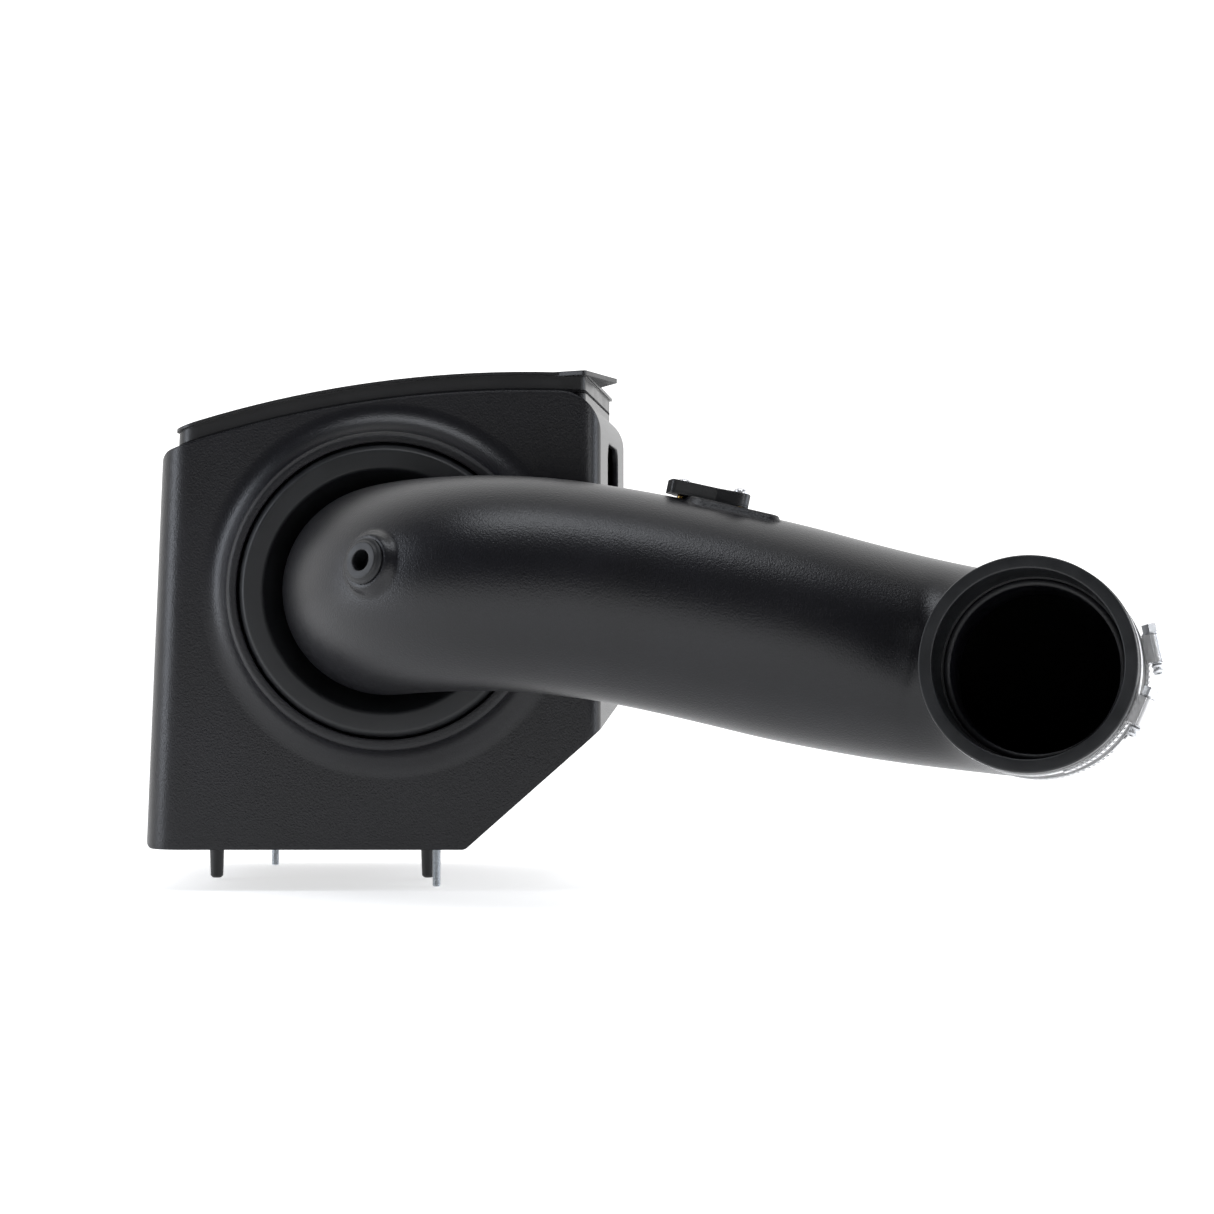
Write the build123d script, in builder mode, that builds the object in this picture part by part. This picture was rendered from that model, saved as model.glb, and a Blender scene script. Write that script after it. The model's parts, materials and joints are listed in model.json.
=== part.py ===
from build123d import *
from math import atan2, cos, degrees, pi, radians, sin, sqrt, tan
import os

# Cold-air intake for a car engine: a moulded filter box with a screwed-on lid, a wide curved intake
# tube that leaves the box through a rubber seal, and a rubber outlet coupler with two worm-drive
# clamps. A conical pleated filter sits on the tube's inner neck, inside the box.
#
# Frame: X to the right along the box, Y from the box's front wall to its back wall, Z up. The origin
# is midway between the two mounting studs, on the plane of the box's base. All sizes in millimetres.

# ------------------------------------------------------------------ driving dimensions
# General
step_gap = 1.0              # cutters pass the faces they cut by this

# Box
box_front_y = -112.0        # front wall's outer face
box_depth = 220.0
box_left_x = -130.5         # left wall's outer face at the base
box_left_lean = 11.0        # how far the left wall leans in over the lean height
box_lean_height = 262.0
box_right_front_x = 175.5   # right wall's outer face at the front
box_right_splay = 18.5      # how much further right it is at the back
box_chamfer_x = 85.7        # where the sloping underside starts on the base
box_chamfer_angle = 41.5
box_wall = 4.0
top_crown_x = 126.4         # highest point of the curved top
top_crown_z = 306.7
top_radius = 743.0
corner_left_r = 25.0        # upright corners
corner_right_r = 13.0
shoulder_left_r = 12.0      # long edges that run front to back
shoulder_right_r = 27.0
base_edge_r = 6.0
corner_stand = 0.1          # how far the rounded plan stands outside the side walls
block_overrun = 5.0         # how far the construction blocks pass each other
least_shoulder_r = 2.0
least_base_r = 1.0
least_corner_r = 4.0        # smallest corner left inside

# Air inlet in the right wall
inlet_width = 90.0          # along the wall
inlet_bottom_z = 136.0
inlet_height = 140.0
inlet_corner_r = 14.0

# Lid
lid_inset = 10.5            # from the box's outer walls to the lid's skirt
lid_height = 13.0           # top of the lid above the box's top
lid_wall = 3.0
lid_lip = 1.8               # the top plate overhangs the skirt by this
lid_opening_inset = 27.0    # from the box's outer walls to the opening under the lid
seal_height = 2.0
seal_width = 5.0
lid_boss_r = 7.5
lid_pocket_depth = 5.5      # screw pockets, down from the lid's top
lid_pocket_r = 6.0
lid_land = 9.0              # raised land under the lid's seal, down into the box's shoulders
lid_boss_inset = 19.5       # from the box's outer walls to the screws
lid_edge_t = 2.0            # thickness of the top plate's overhanging edge
lid_gap = 0.3               # lid's feet and seal above the box
lid_ear_t = 3.0
lid_ear_width = 54.0
lid_ear_front = 3.5         # how far the ear stands out past the front wall
lid_ear_corner_r = 2.0
lid_ear_reach = 7.0         # how far the ear stands out past the box's front corner
lid_ear_back_y = 18.0
lid_ear_root = 12.0         # its front edge's start, behind the lid's front edge
lid_ear_side = 12.0         # its side corner, past the front right corner
lid_ear_side_back = 64.0    # and behind the front wall
lid_ear_tuck = 9.0          # its back corner, in from the lid's right edge
insert_r = 3.6
insert_length = 9.0
insert_step = 1.0           # inserts sit this far below the land
insert_boss_r = 6.5
insert_boss_floor = 2.0     # the boss below the end of the screw
screw_past_insert = 5.0
m5_r = 2.5
m5_head_r = 4.6
m5_head_h = 2.8
m5_washer_r = 5.2
m5_washer_t = 1.0
m5_hole_r = 2.8
thread_gap = 0.15
above_lid = 30.0            # higher than anything on the lid
below_lid = -5.0

# Port in the front wall, and its rubber seal
port_x = 34.5
port_z = 172.6
port_r = 98.0               # hole in the wall and the boss
port_boss_r = 105.0
port_boss_h = 24.0
port_edge_r = 2.5
port_flare_r = 20.0         # concave sweep from the boss into the wall
seal_proud = 2.5            # seal's face in front of the boss
seal_face_r = 93.0
seal_inner_r = 80.0
seal_groove = 1.6
seal_web = 6.0
seal_flange = 5.0
seal_shoulder = 2.0         # outer groove's start behind the boss's face
seal_groove_end = 7.0
seal_groove_foot = 9.0
seal_cone_foot = 2.0        # the inner cone meets the neck this far in front of the wall
seal_skirt = 4.0            # radial step behind the web

# Intake tube
neck_r_outer = 69.0         # straight neck through the port seal
neck_inside = 44.0          # how far the neck reaches behind the front wall's face
tube_wall = 4.0
elbow_r = 100.0             # centreline radius of the bend outside the port
neck_front = 2.0            # straight length in front of the wall
run_rise = 2.4              # centreline's rise over the first bend
run_end_z = 131.5
run_start_slope = -0.10
run_end_slope = -0.20
outlet_mouth_x = 419.1
outlet_mouth_y = -366.0
outlet_mouth_z = 130.0
outlet_turn = 15.6          # outlet's turn towards the box, in plan
outlet_tilt = 6.3           # outlet's upward tilt
outlet_bend_r = 77.0        # centreline radius of the bend before the outlet
outlet_neck_r = 53.4
outlet_bore_r = 54.5        # coupler's mouth, for the engine's inlet pipe
shoulder_gap = 0.5          # coupler's rear edge to the tube's shoulder
tube_sizes = (              # part of the centreline's length, outer radius there
    (0.0, 69.0),
    (0.25, 67.6),
    (0.40, 67.4),
    (0.60, 68.6),
    (0.74, 66.2),
    (0.87, 62.6),
    (1.0, 60.0),
)
tube_sections = 16

# Outlet coupler
coupler_length = 80.0
coupler_wall = 7.8
coupler_overhang = 40.0     # coupler's reach past the tube's end
coupler_edge_r = 1.2

# Sensor pad on the tube
pad_part = 0.47             # the pad's place along the centreline
pad_length = 58.0
pad_width = 42.0
pad_rise = 1.6              # pad's face above the tube's crest
pad_depth = 15.0
pad_corner_r = 7.0
cover_centre_x = -4.0
cover_length = 39.0
cover_width = 24.0
cover_corner_r = 3.5
cover_edge_r = 0.8
cover_height = 7.5
cover_ear_r = 6.5
cover_spigot_r = 10.5
cover_spigot_t = 2.0
cover_spigot_length = 9.0
gasket_t = 1.2
sensor_near_x = 20.5
sensor_far_x = -12.5
sensor_screw_y = 12.0
m4_r = 2.0
m4_head_r = 4.3
m4_head_h = 3.0
m4_insert_r = 3.0
m4_insert_length = 7.0

# Gauge grommet on the first bend
gauge_azimuth = 37.0        # from straight ahead, towards the left
gauge_elevation = 11.0
gauge_boss_r = 18.0
gauge_boss_h = 4.0
gauge_boss_taper = 2.0
grommet_flange_r = 14.6
grommet_body_r = 11.0
grommet_face_r = 12.2
grommet_hole_r = 6.5
grommet_flange_t = 3.0
grommet_flange_edge = 1.5
grommet_face_rise = 1.0
grommet_inside = 3.0        # how far it stands in from the tube's wall

# Worm-drive clamps
band_t = 0.7
band_width = 12.7
tail_width = 12.0
tail_gap = 0.3
slot_pitch = 3.2
slot_length = 8.4
slot_width = 1.5
slot_lean = 8.0
band_slot_start = 58.0      # angles below the housing
band_slot_end = 170.0
tail_angle = 50.0
housing_length = 16.5
housing_wall = 1.0
housing_foot = 0.6          # housing's feet above the hose
worm_r = 3.6
worm_core_r = 2.7
worm_gap = 0.35
worm_length = 24.0
hex_flats = 8.0
hex_height = 5.0
hex_flange_r = 4.9
hex_flange_t = 1.0
driver_slot = 1.2
band_slot_margin = 2.0      # degrees of plain tail before its slots
socket_share = 0.4          # screw socket's size in the head
socket_depth_share = 0.65
near_clamp_back = 20.0      # from the coupler's mouth to the clamp's middle
far_clamp_back = 66.0
near_clamp_angle = -22.0    # screw housing's place round the coupler, from the right, upwards
far_clamp_angle = 12.5
filter_clamp_angle = 118.0

# Filter
filter_sleeve_t = 5.0
filter_sleeve_length = 33.0
filter_gap = 0.3            # sleeve to neck, and filter to its own rings
filter_clamp_share = 0.45    # clamp's place along the sleeve
filter_rim = 0.6            # outer screen below the base's rim
filter_start = 10.0          # sleeve's front edge behind the front wall's face
filter_base_r = 82.0
filter_tip_r = 66.0
filter_length = 125.0       # pleated length
filter_pleat_depth = 16.0
filter_base_t = 10.0
filter_cap_t = 9.0
filter_base_round = 2.0
filter_base_lip = 4.0       # base inside the pleats
filter_cap_lip = 6.0
filter_cap_plug = 2.0
filter_cap_edge = 3.0
filter_cap_rim = 14.0       # raised rim round the cap's dished face
filter_cap_dish = 18.0
screen_t = 1.0

# Studs and pegs under the base
stud_r = 3.0
stud_shank_r = 3.4          # plain shank through the floor, with a shoulder on the base plane
stud_below = 28.5
stud_half_x = 64.3          # studs stand at (+x, -y) and (-x, +y)
stud_half_y = 73.1
stud_head_r = 7.0
stud_head_t = 4.0
stud_tip_chamfer = 0.8
washer_r = 9.0
washer_t = 1.6
peg_root_r = 5.3
peg_tip_r = 4.4
peg_below = 27.0
peg_tip_round = 1.5
peg_flange_r = 9.0
peg_flange_t = 3.0
peg_y = -28.0
peg_left_x = -92.2
peg_right_x = 55.5

# ------------------------------------------------------------------ derived places
box_back_y = box_front_y + box_depth
box_mid_y = box_front_y + box_depth / 2
top_centre_z = top_crown_z - top_radius
splay_angle = degrees(atan2(box_right_splay, box_depth))
above_box = top_crown_z + lid_height + 40
port_axis = Axis((port_x, box_front_y, port_z), (0, 1, 0))


def left_x(z):
    """The left wall's outer face at height z."""
    return box_left_x + box_left_lean * z / box_lean_height


def right_x(y):
    """The right wall's outer face at depth y."""
    return box_right_front_x + box_right_splay * (y - box_front_y) / box_depth


def top_z(x):
    """The box's curved top at x."""
    return top_centre_z + sqrt(top_radius**2 - (x - top_crown_x) ** 2)


def plan_block(inset, bottom, top):
    """The box's plan outline drawn in by inset, as a block between two heights. Its sides stand a
    little outside the side walls, so that the rounded corners cross those walls cleanly."""
    with BuildPart() as block:
        for z in (bottom, top):
            with BuildSketch(Plane.XY.offset(z)) as outline_sketch:
                front, back = box_front_y + inset, box_back_y - inset
                with BuildLine():
                    Polyline(
                        (left_x(z) + inset - corner_stand, front),
                        (right_x(front) - inset + corner_stand, front),
                        (right_x(back) - inset + corner_stand, back),
                        (left_x(z) + inset - corner_stand, back),
                        close=True,
                    )
                outline = make_face()
                by_x = outline.vertices().sort_by(Axis.X)
                fillet(by_x[:2], max(corner_left_r - inset, least_corner_r))
                rounded = outline_sketch.vertices().sort_by(Axis.X)
                fillet(rounded[-2:], max(corner_right_r - inset, least_corner_r))
        loft(ruled=True)
    return block.part


def side_block(inset):
    """The box's front outline drawn in by inset, carried through past the front and back walls.
    The underside slopes up at the right, the top is one large arc, and the right wall splays."""
    slope = tan(radians(box_chamfer_angle))
    slope_x = box_chamfer_x - inset * tan(radians(box_chamfer_angle / 2))
    far_x = box_right_front_x + box_right_splay + 4 * block_overrun
    with BuildPart() as block:
        with BuildSketch(Plane.XZ.offset(-box_front_y + block_overrun)):
            with BuildLine():
                Polyline(
                    (left_x(inset) + inset, inset),
                    (slope_x, inset),
                    (far_x, inset + (far_x - slope_x) * slope),
                    (far_x, above_box),
                    (left_x(above_box) + inset, above_box),
                    close=True,
                )
            make_face()
            with Locations((top_crown_x, top_centre_z)):
                Circle(top_radius - inset, mode=Mode.INTERSECT)
        extrude(amount=-(box_depth + 2 * block_overrun))
        wall = Plane(
            origin=(box_right_front_x - inset, box_front_y, 0),
            x_dir=(0, 0, 1),
            z_dir=(cos(radians(splay_angle)), -sin(radians(splay_angle)), 0),
        )
        split(bisect_by=wall, keep=Keep.BOTTOM)
        long_edges = block.edges().filter_by(lambda e: abs((e @ 0 - e @ 1).Y) > box_depth / 2)
        fillet(long_edges.sort_by(Axis.Z)[-1], max(shoulder_right_r - inset, least_shoulder_r))
        long_edges = block.edges().filter_by(lambda e: abs((e @ 0 - e @ 1).Y) > box_depth / 2)
        left_edge = long_edges.sort_by(Axis.X)[:2].sort_by(Axis.Z)[-1]
        fillet(left_edge, max(shoulder_left_r - inset, least_shoulder_r))
        low_edges = block.edges().filter_by(
            lambda e: abs((e @ 0 - e @ 1).Y) > box_depth / 2 and (e @ 0).Z < inset + 1
        )
        fillet(low_edges, max(base_edge_r - inset, least_base_r))
    return block.part


def top_slab(inset, low, high):
    """A slab that follows the box's curved top, between two heights above it."""
    with BuildPart() as slab:
        add(plan_block(inset, box_lean_height / 2, above_box))
        with BuildSketch(Plane.XZ.offset(-box_back_y)):
            with Locations((top_crown_x, top_centre_z)):
                Circle(top_radius + high)
                Circle(top_radius + low, mode=Mode.SUBTRACT)
        extrude(amount=box_depth, mode=Mode.INTERSECT)
    return slab.part


def columns(spots, radius, bottom, top):
    """Upright round columns, with ends at heights measured from the box's curved top."""
    with BuildPart() as group:
        for x, y in spots:
            with BuildSketch(Plane.XY.offset(top_z(x) + bottom)):
                with Locations((x, y)):
                    Circle(radius)
            extrude(amount=top - bottom)
    return group.part


def trimmed(shape, low, high):
    """The stretch of a shape between two heights above the box's curved top."""
    with BuildPart() as kept:
        add(shape)
        add(top_slab(box_wall, low, high), mode=Mode.INTERSECT)
    return kept.part


def box_block(inset):
    """The whole box as one block, drawn in by inset."""
    with BuildPart() as block:
        add(plan_block(inset, -step_gap, above_box))
        add(side_block(inset), mode=Mode.INTERSECT)
    return block.part


def turned(axis_plane, *outline):
    """A turned piece: its outline is (radius, height) points about the plane's own z axis."""
    section = Plane(origin=axis_plane.origin, x_dir=axis_plane.x_dir, z_dir=-axis_plane.y_dir)
    with BuildPart() as piece:
        with BuildSketch(section):
            with BuildLine():
                Polyline(*outline, close=True)
            make_face()
        revolve(axis=Axis(axis_plane.origin, axis_plane.z_dir))
    return piece.part


def button_screw(seat, shank_r, length, head_r, head_h):
    """A round-headed screw with a hex socket. The seat is the plane under its head, z up."""
    edge = (head_r, head_h * 0.3)
    shoulder = (head_r * 0.78, head_h * 0.8)
    crown = (head_r / 2, head_h)
    with BuildPart() as screw:
        with BuildSketch(Plane(origin=seat.origin, x_dir=seat.x_dir, z_dir=-seat.y_dir)):
            with BuildLine():
                Polyline((0, head_h), (0, -length), (shank_r, -length), (shank_r, 0), (head_r, 0))
                Line((head_r, 0), edge)
                ThreePointArc(edge, shoulder, crown)
                Line(crown, (0, head_h))
            make_face()
        revolve(axis=Axis(seat.origin, seat.z_dir))
        with BuildSketch(seat.offset(head_h)):
            RegularPolygon(head_r * socket_share, 6)
        extrude(amount=-head_h * socket_depth_share, mode=Mode.SUBTRACT)
    return screw.part


# Screw places round the lid: the four corners and the middles of the long sides
screw_left_x = left_x(top_crown_z) + lid_boss_inset
screw_front_y = box_front_y + lid_boss_inset
screw_back_y = box_back_y - lid_boss_inset
screw_right_front = (right_x(screw_front_y) - lid_boss_inset, screw_front_y)
screw_right_back = (right_x(screw_back_y) - lid_boss_inset, screw_back_y)
screw_mid_x = (screw_left_x + screw_right_front[0]) / 2
lid_screw_spots = [
    (screw_left_x, screw_front_y),
    (screw_mid_x, screw_front_y),
    screw_right_front,
    (screw_left_x, screw_back_y),
    (screw_mid_x, screw_back_y),
    screw_right_back,
]
screw_pad_top = lid_height - lid_pocket_depth
stud_spots = [(stud_half_x, -stud_half_y), (-stud_half_x, stud_half_y)]
peg_spots = [(peg_left_x, peg_y), (peg_right_x, peg_y)]

# Plane across the port with z along the filter, from the box's front wall inwards
port_plane = Plane(origin=(port_x, box_front_y, port_z), x_dir=(1, 0, 0), z_dir=(0, 1, 0))

# Plane across the right wall, with z out through the inlet
wall_angle = radians(splay_angle)
inlet_plane = Plane(
    origin=(right_x(box_mid_y), box_mid_y, inlet_bottom_z + inlet_height / 2),
    x_dir=(sin(wall_angle), cos(wall_angle), 0),
    z_dir=(cos(wall_angle), -sin(wall_angle), 0),
)

# Plane across the coupler's mouth, with z out of it
turn, tilt = radians(outlet_turn), radians(outlet_tilt)
outlet_dir = Vector(-sin(turn) * cos(tilt), -cos(turn) * cos(tilt), sin(tilt))
mouth = Vector(outlet_mouth_x, outlet_mouth_y, outlet_mouth_z)
mouth_plane = Plane(origin=mouth, x_dir=(cos(turn), -sin(turn), 0), z_dir=outlet_dir)
tube_end = mouth - outlet_dir * (coupler_length + shoulder_gap)

# The tube's centreline in plan: a left-hand arc outside the port, a straight run that is tangent to
# both arcs, and a right-hand arc to the outlet. Its height is a smooth curve along that length.
left_centre = Vector(port_x + elbow_r, box_front_y - neck_front)
right_centre = Vector(tube_end.X, tube_end.Y) + Vector(-cos(turn), sin(turn)) * outlet_bend_r
between = right_centre - left_centre
run_length = sqrt(between.length**2 - (elbow_r + outlet_bend_r) ** 2)
run_heading = atan2(between.Y, between.X) + atan2(elbow_r + outlet_bend_r, run_length)
left_length = elbow_r * (pi / 2 + run_heading)
right_length = outlet_bend_r * (run_heading + pi / 2 + turn)
tube_length = left_length + run_length + right_length
height_keys = (             # distance along, height, slope
    (0, port_z, 0),
    (left_length, port_z + run_rise, run_start_slope),
    (left_length + run_length, run_end_z, run_end_slope),
    (tube_length, tube_end.Z, tan(tilt)),
)


def tube_height(along):
    """The centreline's height and slope at a distance along it: cubic between the keys."""
    for (s0, z0, m0), (s1, z1, m1) in zip(height_keys, height_keys[1:]):
        if along <= s1 or s1 == tube_length:
            span = s1 - s0
            t = (along - s0) / span
            c2 = 3 * (z1 - z0) - (2 * m0 + m1) * span
            c3 = 2 * (z0 - z1) + (m0 + m1) * span
            height = z0 + m0 * span * t + c2 * t**2 + c3 * t**3
            slope = m0 + (2 * c2 * t + 3 * c3 * t**2) / span
            return height, slope


def station(along):
    """The plane across the tube at a distance along its centreline, with z along the tube."""
    if along <= left_length:
        heading = along / elbow_r - pi / 2
        spot = left_centre + Vector(sin(heading), -cos(heading)) * elbow_r
    elif along <= left_length + run_length:
        heading = run_heading
        start = left_centre + Vector(sin(heading), -cos(heading)) * elbow_r
        spot = start + Vector(cos(heading), sin(heading)) * (along - left_length)
    else:
        heading = run_heading - (along - left_length - run_length) / outlet_bend_r
        spot = right_centre + Vector(-sin(heading), cos(heading)) * outlet_bend_r
    height, slope = tube_height(along)
    return Plane(
        origin=(spot.X, spot.Y, height),
        x_dir=(-sin(heading), cos(heading), 0),
        z_dir=(cos(heading), sin(heading), slope),
    )


def tube_radius(part):
    """The tube's outer radius at a part of its centreline's length."""
    for (start, start_r), (end, end_r) in zip(tube_sizes, tube_sizes[1:]):
        if part <= end:
            return start_r + (end_r - start_r) * (part - start) / (end - start)
    return tube_sizes[-1][1]


def tube_core(wall):
    """The tube's curved length, lofted through round sections across its centreline."""
    with BuildPart() as core:
        for step in range(tube_sections + 1):
            part = step / tube_sections
            radius = tube_radius(part) - wall
            if step == tube_sections and wall:
                radius = outlet_neck_r - wall
            with BuildSketch(station(part * tube_length)):
                Circle(radius)
        loft()
    return core.part


def tube_ends(wall):
    """The straight necks at the tube's two ends."""
    neck_r, outlet_r = neck_r_outer - wall, outlet_neck_r - wall
    with BuildPart() as ends:
        with BuildSketch(port_plane.offset(-neck_front)):
            Circle(neck_r)
        extrude(amount=neck_front + neck_inside)
        with BuildSketch(mouth_plane.offset(-coupler_length - shoulder_gap)):
            Circle(outlet_r)
        extrude(amount=coupler_length + shoulder_gap - coupler_overhang)
    return ends.part


# Sensor pad: a plane on the tube's crest, x along the tube, z up off it
pad_station = station(pad_part * tube_length)
pad_up = pad_station.y_dir if pad_station.y_dir.Z > 0 else -pad_station.y_dir
pad_plane = Plane(
    origin=pad_station.origin + pad_up * (tube_radius(pad_part) + pad_rise),
    x_dir=pad_station.z_dir,
    z_dir=pad_up,
)

# Gauge boss: a plane on the outside of the first bend, z straight off the tube
side, lift = radians(gauge_azimuth), radians(gauge_elevation)
gauge_dir = Vector(-sin(side) * cos(lift), -cos(side) * cos(lift), sin(lift))
gauge_along = elbow_r * (pi / 2 - side)
gauge_plane = Plane(
    origin=station(gauge_along).origin + gauge_dir * tube_radius(gauge_along / tube_length),
    x_dir=(cos(side), -sin(side), 0),
    z_dir=gauge_dir,
)

os.makedirs("parts", exist_ok=True)

# ------------------------------------------------------------------ box
with BuildPart() as air_box:
    add(box_block(0))
    add(top_slab(lid_inset, -lid_land, 0))
    # Boss round the port, with a concave sweep into the wall
    with BuildSketch(Plane(origin=port_plane.origin, x_dir=(1, 0, 0), z_dir=(0, 0, 1))):
        with BuildLine():
            foot = (port_boss_r + port_flare_r, 0)
            neck = (port_boss_r, -port_flare_r)
            hub = port_flare_r * (1 - sin(pi / 4))
            ThreePointArc(foot, (port_boss_r + hub, -hub), neck)
            Polyline(
                neck,
                (port_boss_r, -port_boss_h + port_edge_r),
                (port_boss_r - port_edge_r, -port_boss_h),
                (port_r, -port_boss_h),
                (port_r, box_wall / 2),
                (foot[0], box_wall / 2),
                foot,
            )
        make_face()
    revolve(axis=port_axis)
    # Hollow, with the lid's opening, the port and the air inlet
    add(box_block(box_wall), mode=Mode.SUBTRACT)
    opening_foot = box_lean_height - 2 * block_overrun
    add(plan_block(lid_opening_inset, opening_foot, above_box), mode=Mode.SUBTRACT)
    with BuildSketch(port_plane.offset(-port_boss_h - step_gap)):
        Circle(port_r)
    extrude(amount=port_boss_h + box_wall + 2 * step_gap, mode=Mode.SUBTRACT)
    with BuildSketch(inlet_plane.offset(-box_wall * 3)):
        RectangleRounded(inlet_width, inlet_height, inlet_corner_r)
    extrude(amount=box_wall * 6, mode=Mode.SUBTRACT)
    # Bosses for the lid's inserts, hung under the top
    boss_foot = -insert_length - screw_past_insert - insert_boss_floor
    add(trimmed(columns(lid_screw_spots, insert_boss_r, boss_foot, above_lid), 3 * boss_foot, 0))
    insert_foot = -insert_length - insert_step
    add(columns(lid_screw_spots, insert_r, insert_foot, above_lid), mode=Mode.SUBTRACT)
    screw_foot = -insert_length - screw_past_insert
    add(columns(lid_screw_spots, m5_hole_r, screw_foot, above_lid), mode=Mode.SUBTRACT)
    # Holes in the floor
    with BuildSketch(Plane.XY):
        with Locations(*stud_spots):
            Circle(stud_shank_r)
        with Locations(*peg_spots):
            Circle(peg_root_r)
    extrude(amount=box_wall, mode=Mode.SUBTRACT)
air_box.part.label = "air_box"
export_step(air_box.part, "parts/air_box.step")

with BuildPart() as lid_inserts:
    add(columns(lid_screw_spots, insert_r, insert_foot, -insert_step))
    bore_foot = insert_foot - step_gap
    add(columns(lid_screw_spots, m5_r + thread_gap, bore_foot, above_lid), mode=Mode.SUBTRACT)
lid_inserts.part.label = "lid_inserts"
export_step(lid_inserts.part, "parts/lid_inserts.step")

# ------------------------------------------------------------------ studs and pegs
with BuildPart() as stud_washers:
    with BuildSketch(Plane.XY.offset(box_wall)):
        with Locations(*stud_spots):
            Circle(washer_r)
            Circle(stud_shank_r, mode=Mode.SUBTRACT)
    extrude(amount=washer_t)
stud_washers.part.label = "stud_washers"
export_step(stud_washers.part, "parts/stud_washers.step")

with BuildPart() as mounting_studs:
    with BuildSketch(Plane.XY.offset(-stud_below)):
        with Locations(*stud_spots):
            Circle(stud_r)
    extrude(amount=stud_below)
    tips = mounting_studs.edges().filter_by(GeomType.CIRCLE).group_by(Axis.Z)[0]
    chamfer(tips, stud_tip_chamfer)
    with BuildSketch(Plane.XY):
        with Locations(*stud_spots):
            Circle(stud_shank_r)
    extrude(amount=box_wall + washer_t)
    with BuildSketch(Plane.XY.offset(box_wall + washer_t)):
        with Locations(*stud_spots):
            RegularPolygon(stud_head_r, 6)
    extrude(amount=stud_head_t)
mounting_studs.part.label = "mounting_studs"
export_step(mounting_studs.part, "parts/mounting_studs.step")

with BuildPart() as locating_pegs:
    for x, y in peg_spots:
        add(
            turned(
                Plane((x, y, 0)),
                (0, -peg_below),
                (peg_tip_r - peg_tip_round, -peg_below),
                (peg_tip_r, -peg_below + peg_tip_round),
                (peg_root_r, 0),
                (peg_root_r, box_wall),
                (peg_flange_r, box_wall),
                (peg_flange_r, box_wall + peg_flange_t),
                (0, box_wall + peg_flange_t),
            )
        )
locating_pegs.part.label = "locating_pegs"
export_step(locating_pegs.part, "parts/locating_pegs.step")

# ------------------------------------------------------------------ lid
ear_z = top_crown_z + lid_height - lid_ear_t
ear_right_x = right_x(box_front_y) + lid_ear_reach
with BuildPart() as lid:
    add(top_slab(lid_inset, seal_height, lid_height))
    add(
        top_slab(lid_inset + lid_wall, seal_height - step_gap, lid_height - lid_wall),
        mode=Mode.SUBTRACT,
    )
    add(top_slab(lid_inset - lid_lip, lid_height - lid_edge_t, lid_height))
    bosses = columns(lid_screw_spots, lid_boss_r, below_lid, above_lid)
    add(trimmed(bosses, lid_gap, lid_height - step_gap))
    # Flat ear that overhangs the box's front right corner
    with BuildSketch(Plane.XY.offset(ear_z)):
        with BuildLine():
            Polyline(
                (ear_right_x - lid_ear_width, box_front_y + lid_inset + lid_ear_root),
                (right_x(box_front_y) - lid_inset + step_gap, box_front_y - lid_ear_front),
                (right_x(box_front_y) + lid_ear_side, box_front_y + lid_ear_side_back),
                (right_x(lid_ear_back_y) - lid_inset - lid_ear_tuck, lid_ear_back_y),
                (ear_right_x - lid_ear_width, lid_ear_back_y),
                close=True,
            )
        ear = make_face()
        fillet(ear.vertices(), lid_ear_corner_r)
    extrude(amount=lid_ear_t)
    # Pockets for the screws' heads
    add(columns(lid_screw_spots, lid_pocket_r, screw_pad_top, above_lid), mode=Mode.SUBTRACT)
    add(columns(lid_screw_spots, m5_hole_r, below_lid, above_lid), mode=Mode.SUBTRACT)
lid.part.label = "lid"
export_step(lid.part, "parts/lid.step")

with BuildPart() as lid_seal:
    add(top_slab(lid_inset, lid_gap, seal_height))
    inside = top_slab(lid_inset + seal_width, 0, seal_height + step_gap)
    add(inside, mode=Mode.SUBTRACT)
    add(columns(lid_screw_spots, lid_boss_r, below_lid, above_lid), mode=Mode.SUBTRACT)
lid_seal.part.label = "lid_seal"
export_step(lid_seal.part, "parts/lid_seal.step")

with BuildPart() as lid_washers:
    add(columns(lid_screw_spots, m5_washer_r, screw_pad_top, screw_pad_top + m5_washer_t))
    add(columns(lid_screw_spots, m5_r, screw_pad_top - step_gap, above_lid), mode=Mode.SUBTRACT)
lid_washers.part.label = "lid_washers"
export_step(lid_washers.part, "parts/lid_washers.step")

head_seat = screw_pad_top + m5_washer_t
with BuildPart() as lid_screws:
    for x, y in lid_screw_spots:
        seat = Plane((x, y, top_z(x) + head_seat))
        add(button_screw(seat, m5_r, head_seat + insert_length, m5_head_r, m5_head_h))
lid_screws.part.label = "lid_screws"
export_step(lid_screws.part, "parts/lid_screws.step")

# ------------------------------------------------------------------ port seal
with BuildPart() as port_seal:
    face = -port_boss_h - seal_proud
    add(
        turned(
            port_plane,
            (seal_inner_r, face),
            (seal_face_r, face),
            (port_r - seal_groove, -port_boss_h + seal_shoulder),
            (port_r - seal_groove, -port_boss_h + seal_groove_end),
            (port_r, -port_boss_h + seal_groove_foot),
            (port_r, box_wall),
            (port_r + seal_flange, box_wall),
            (port_r + seal_flange, box_wall + seal_flange),
            (seal_inner_r + seal_skirt, box_wall + seal_flange),
            (seal_inner_r + seal_skirt, seal_web),
            (neck_r_outer, seal_web),
            (neck_r_outer, -seal_cone_foot),
        )
    )
port_seal.part.label = "port_seal"
export_step(port_seal.part, "parts/port_seal.step")

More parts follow.
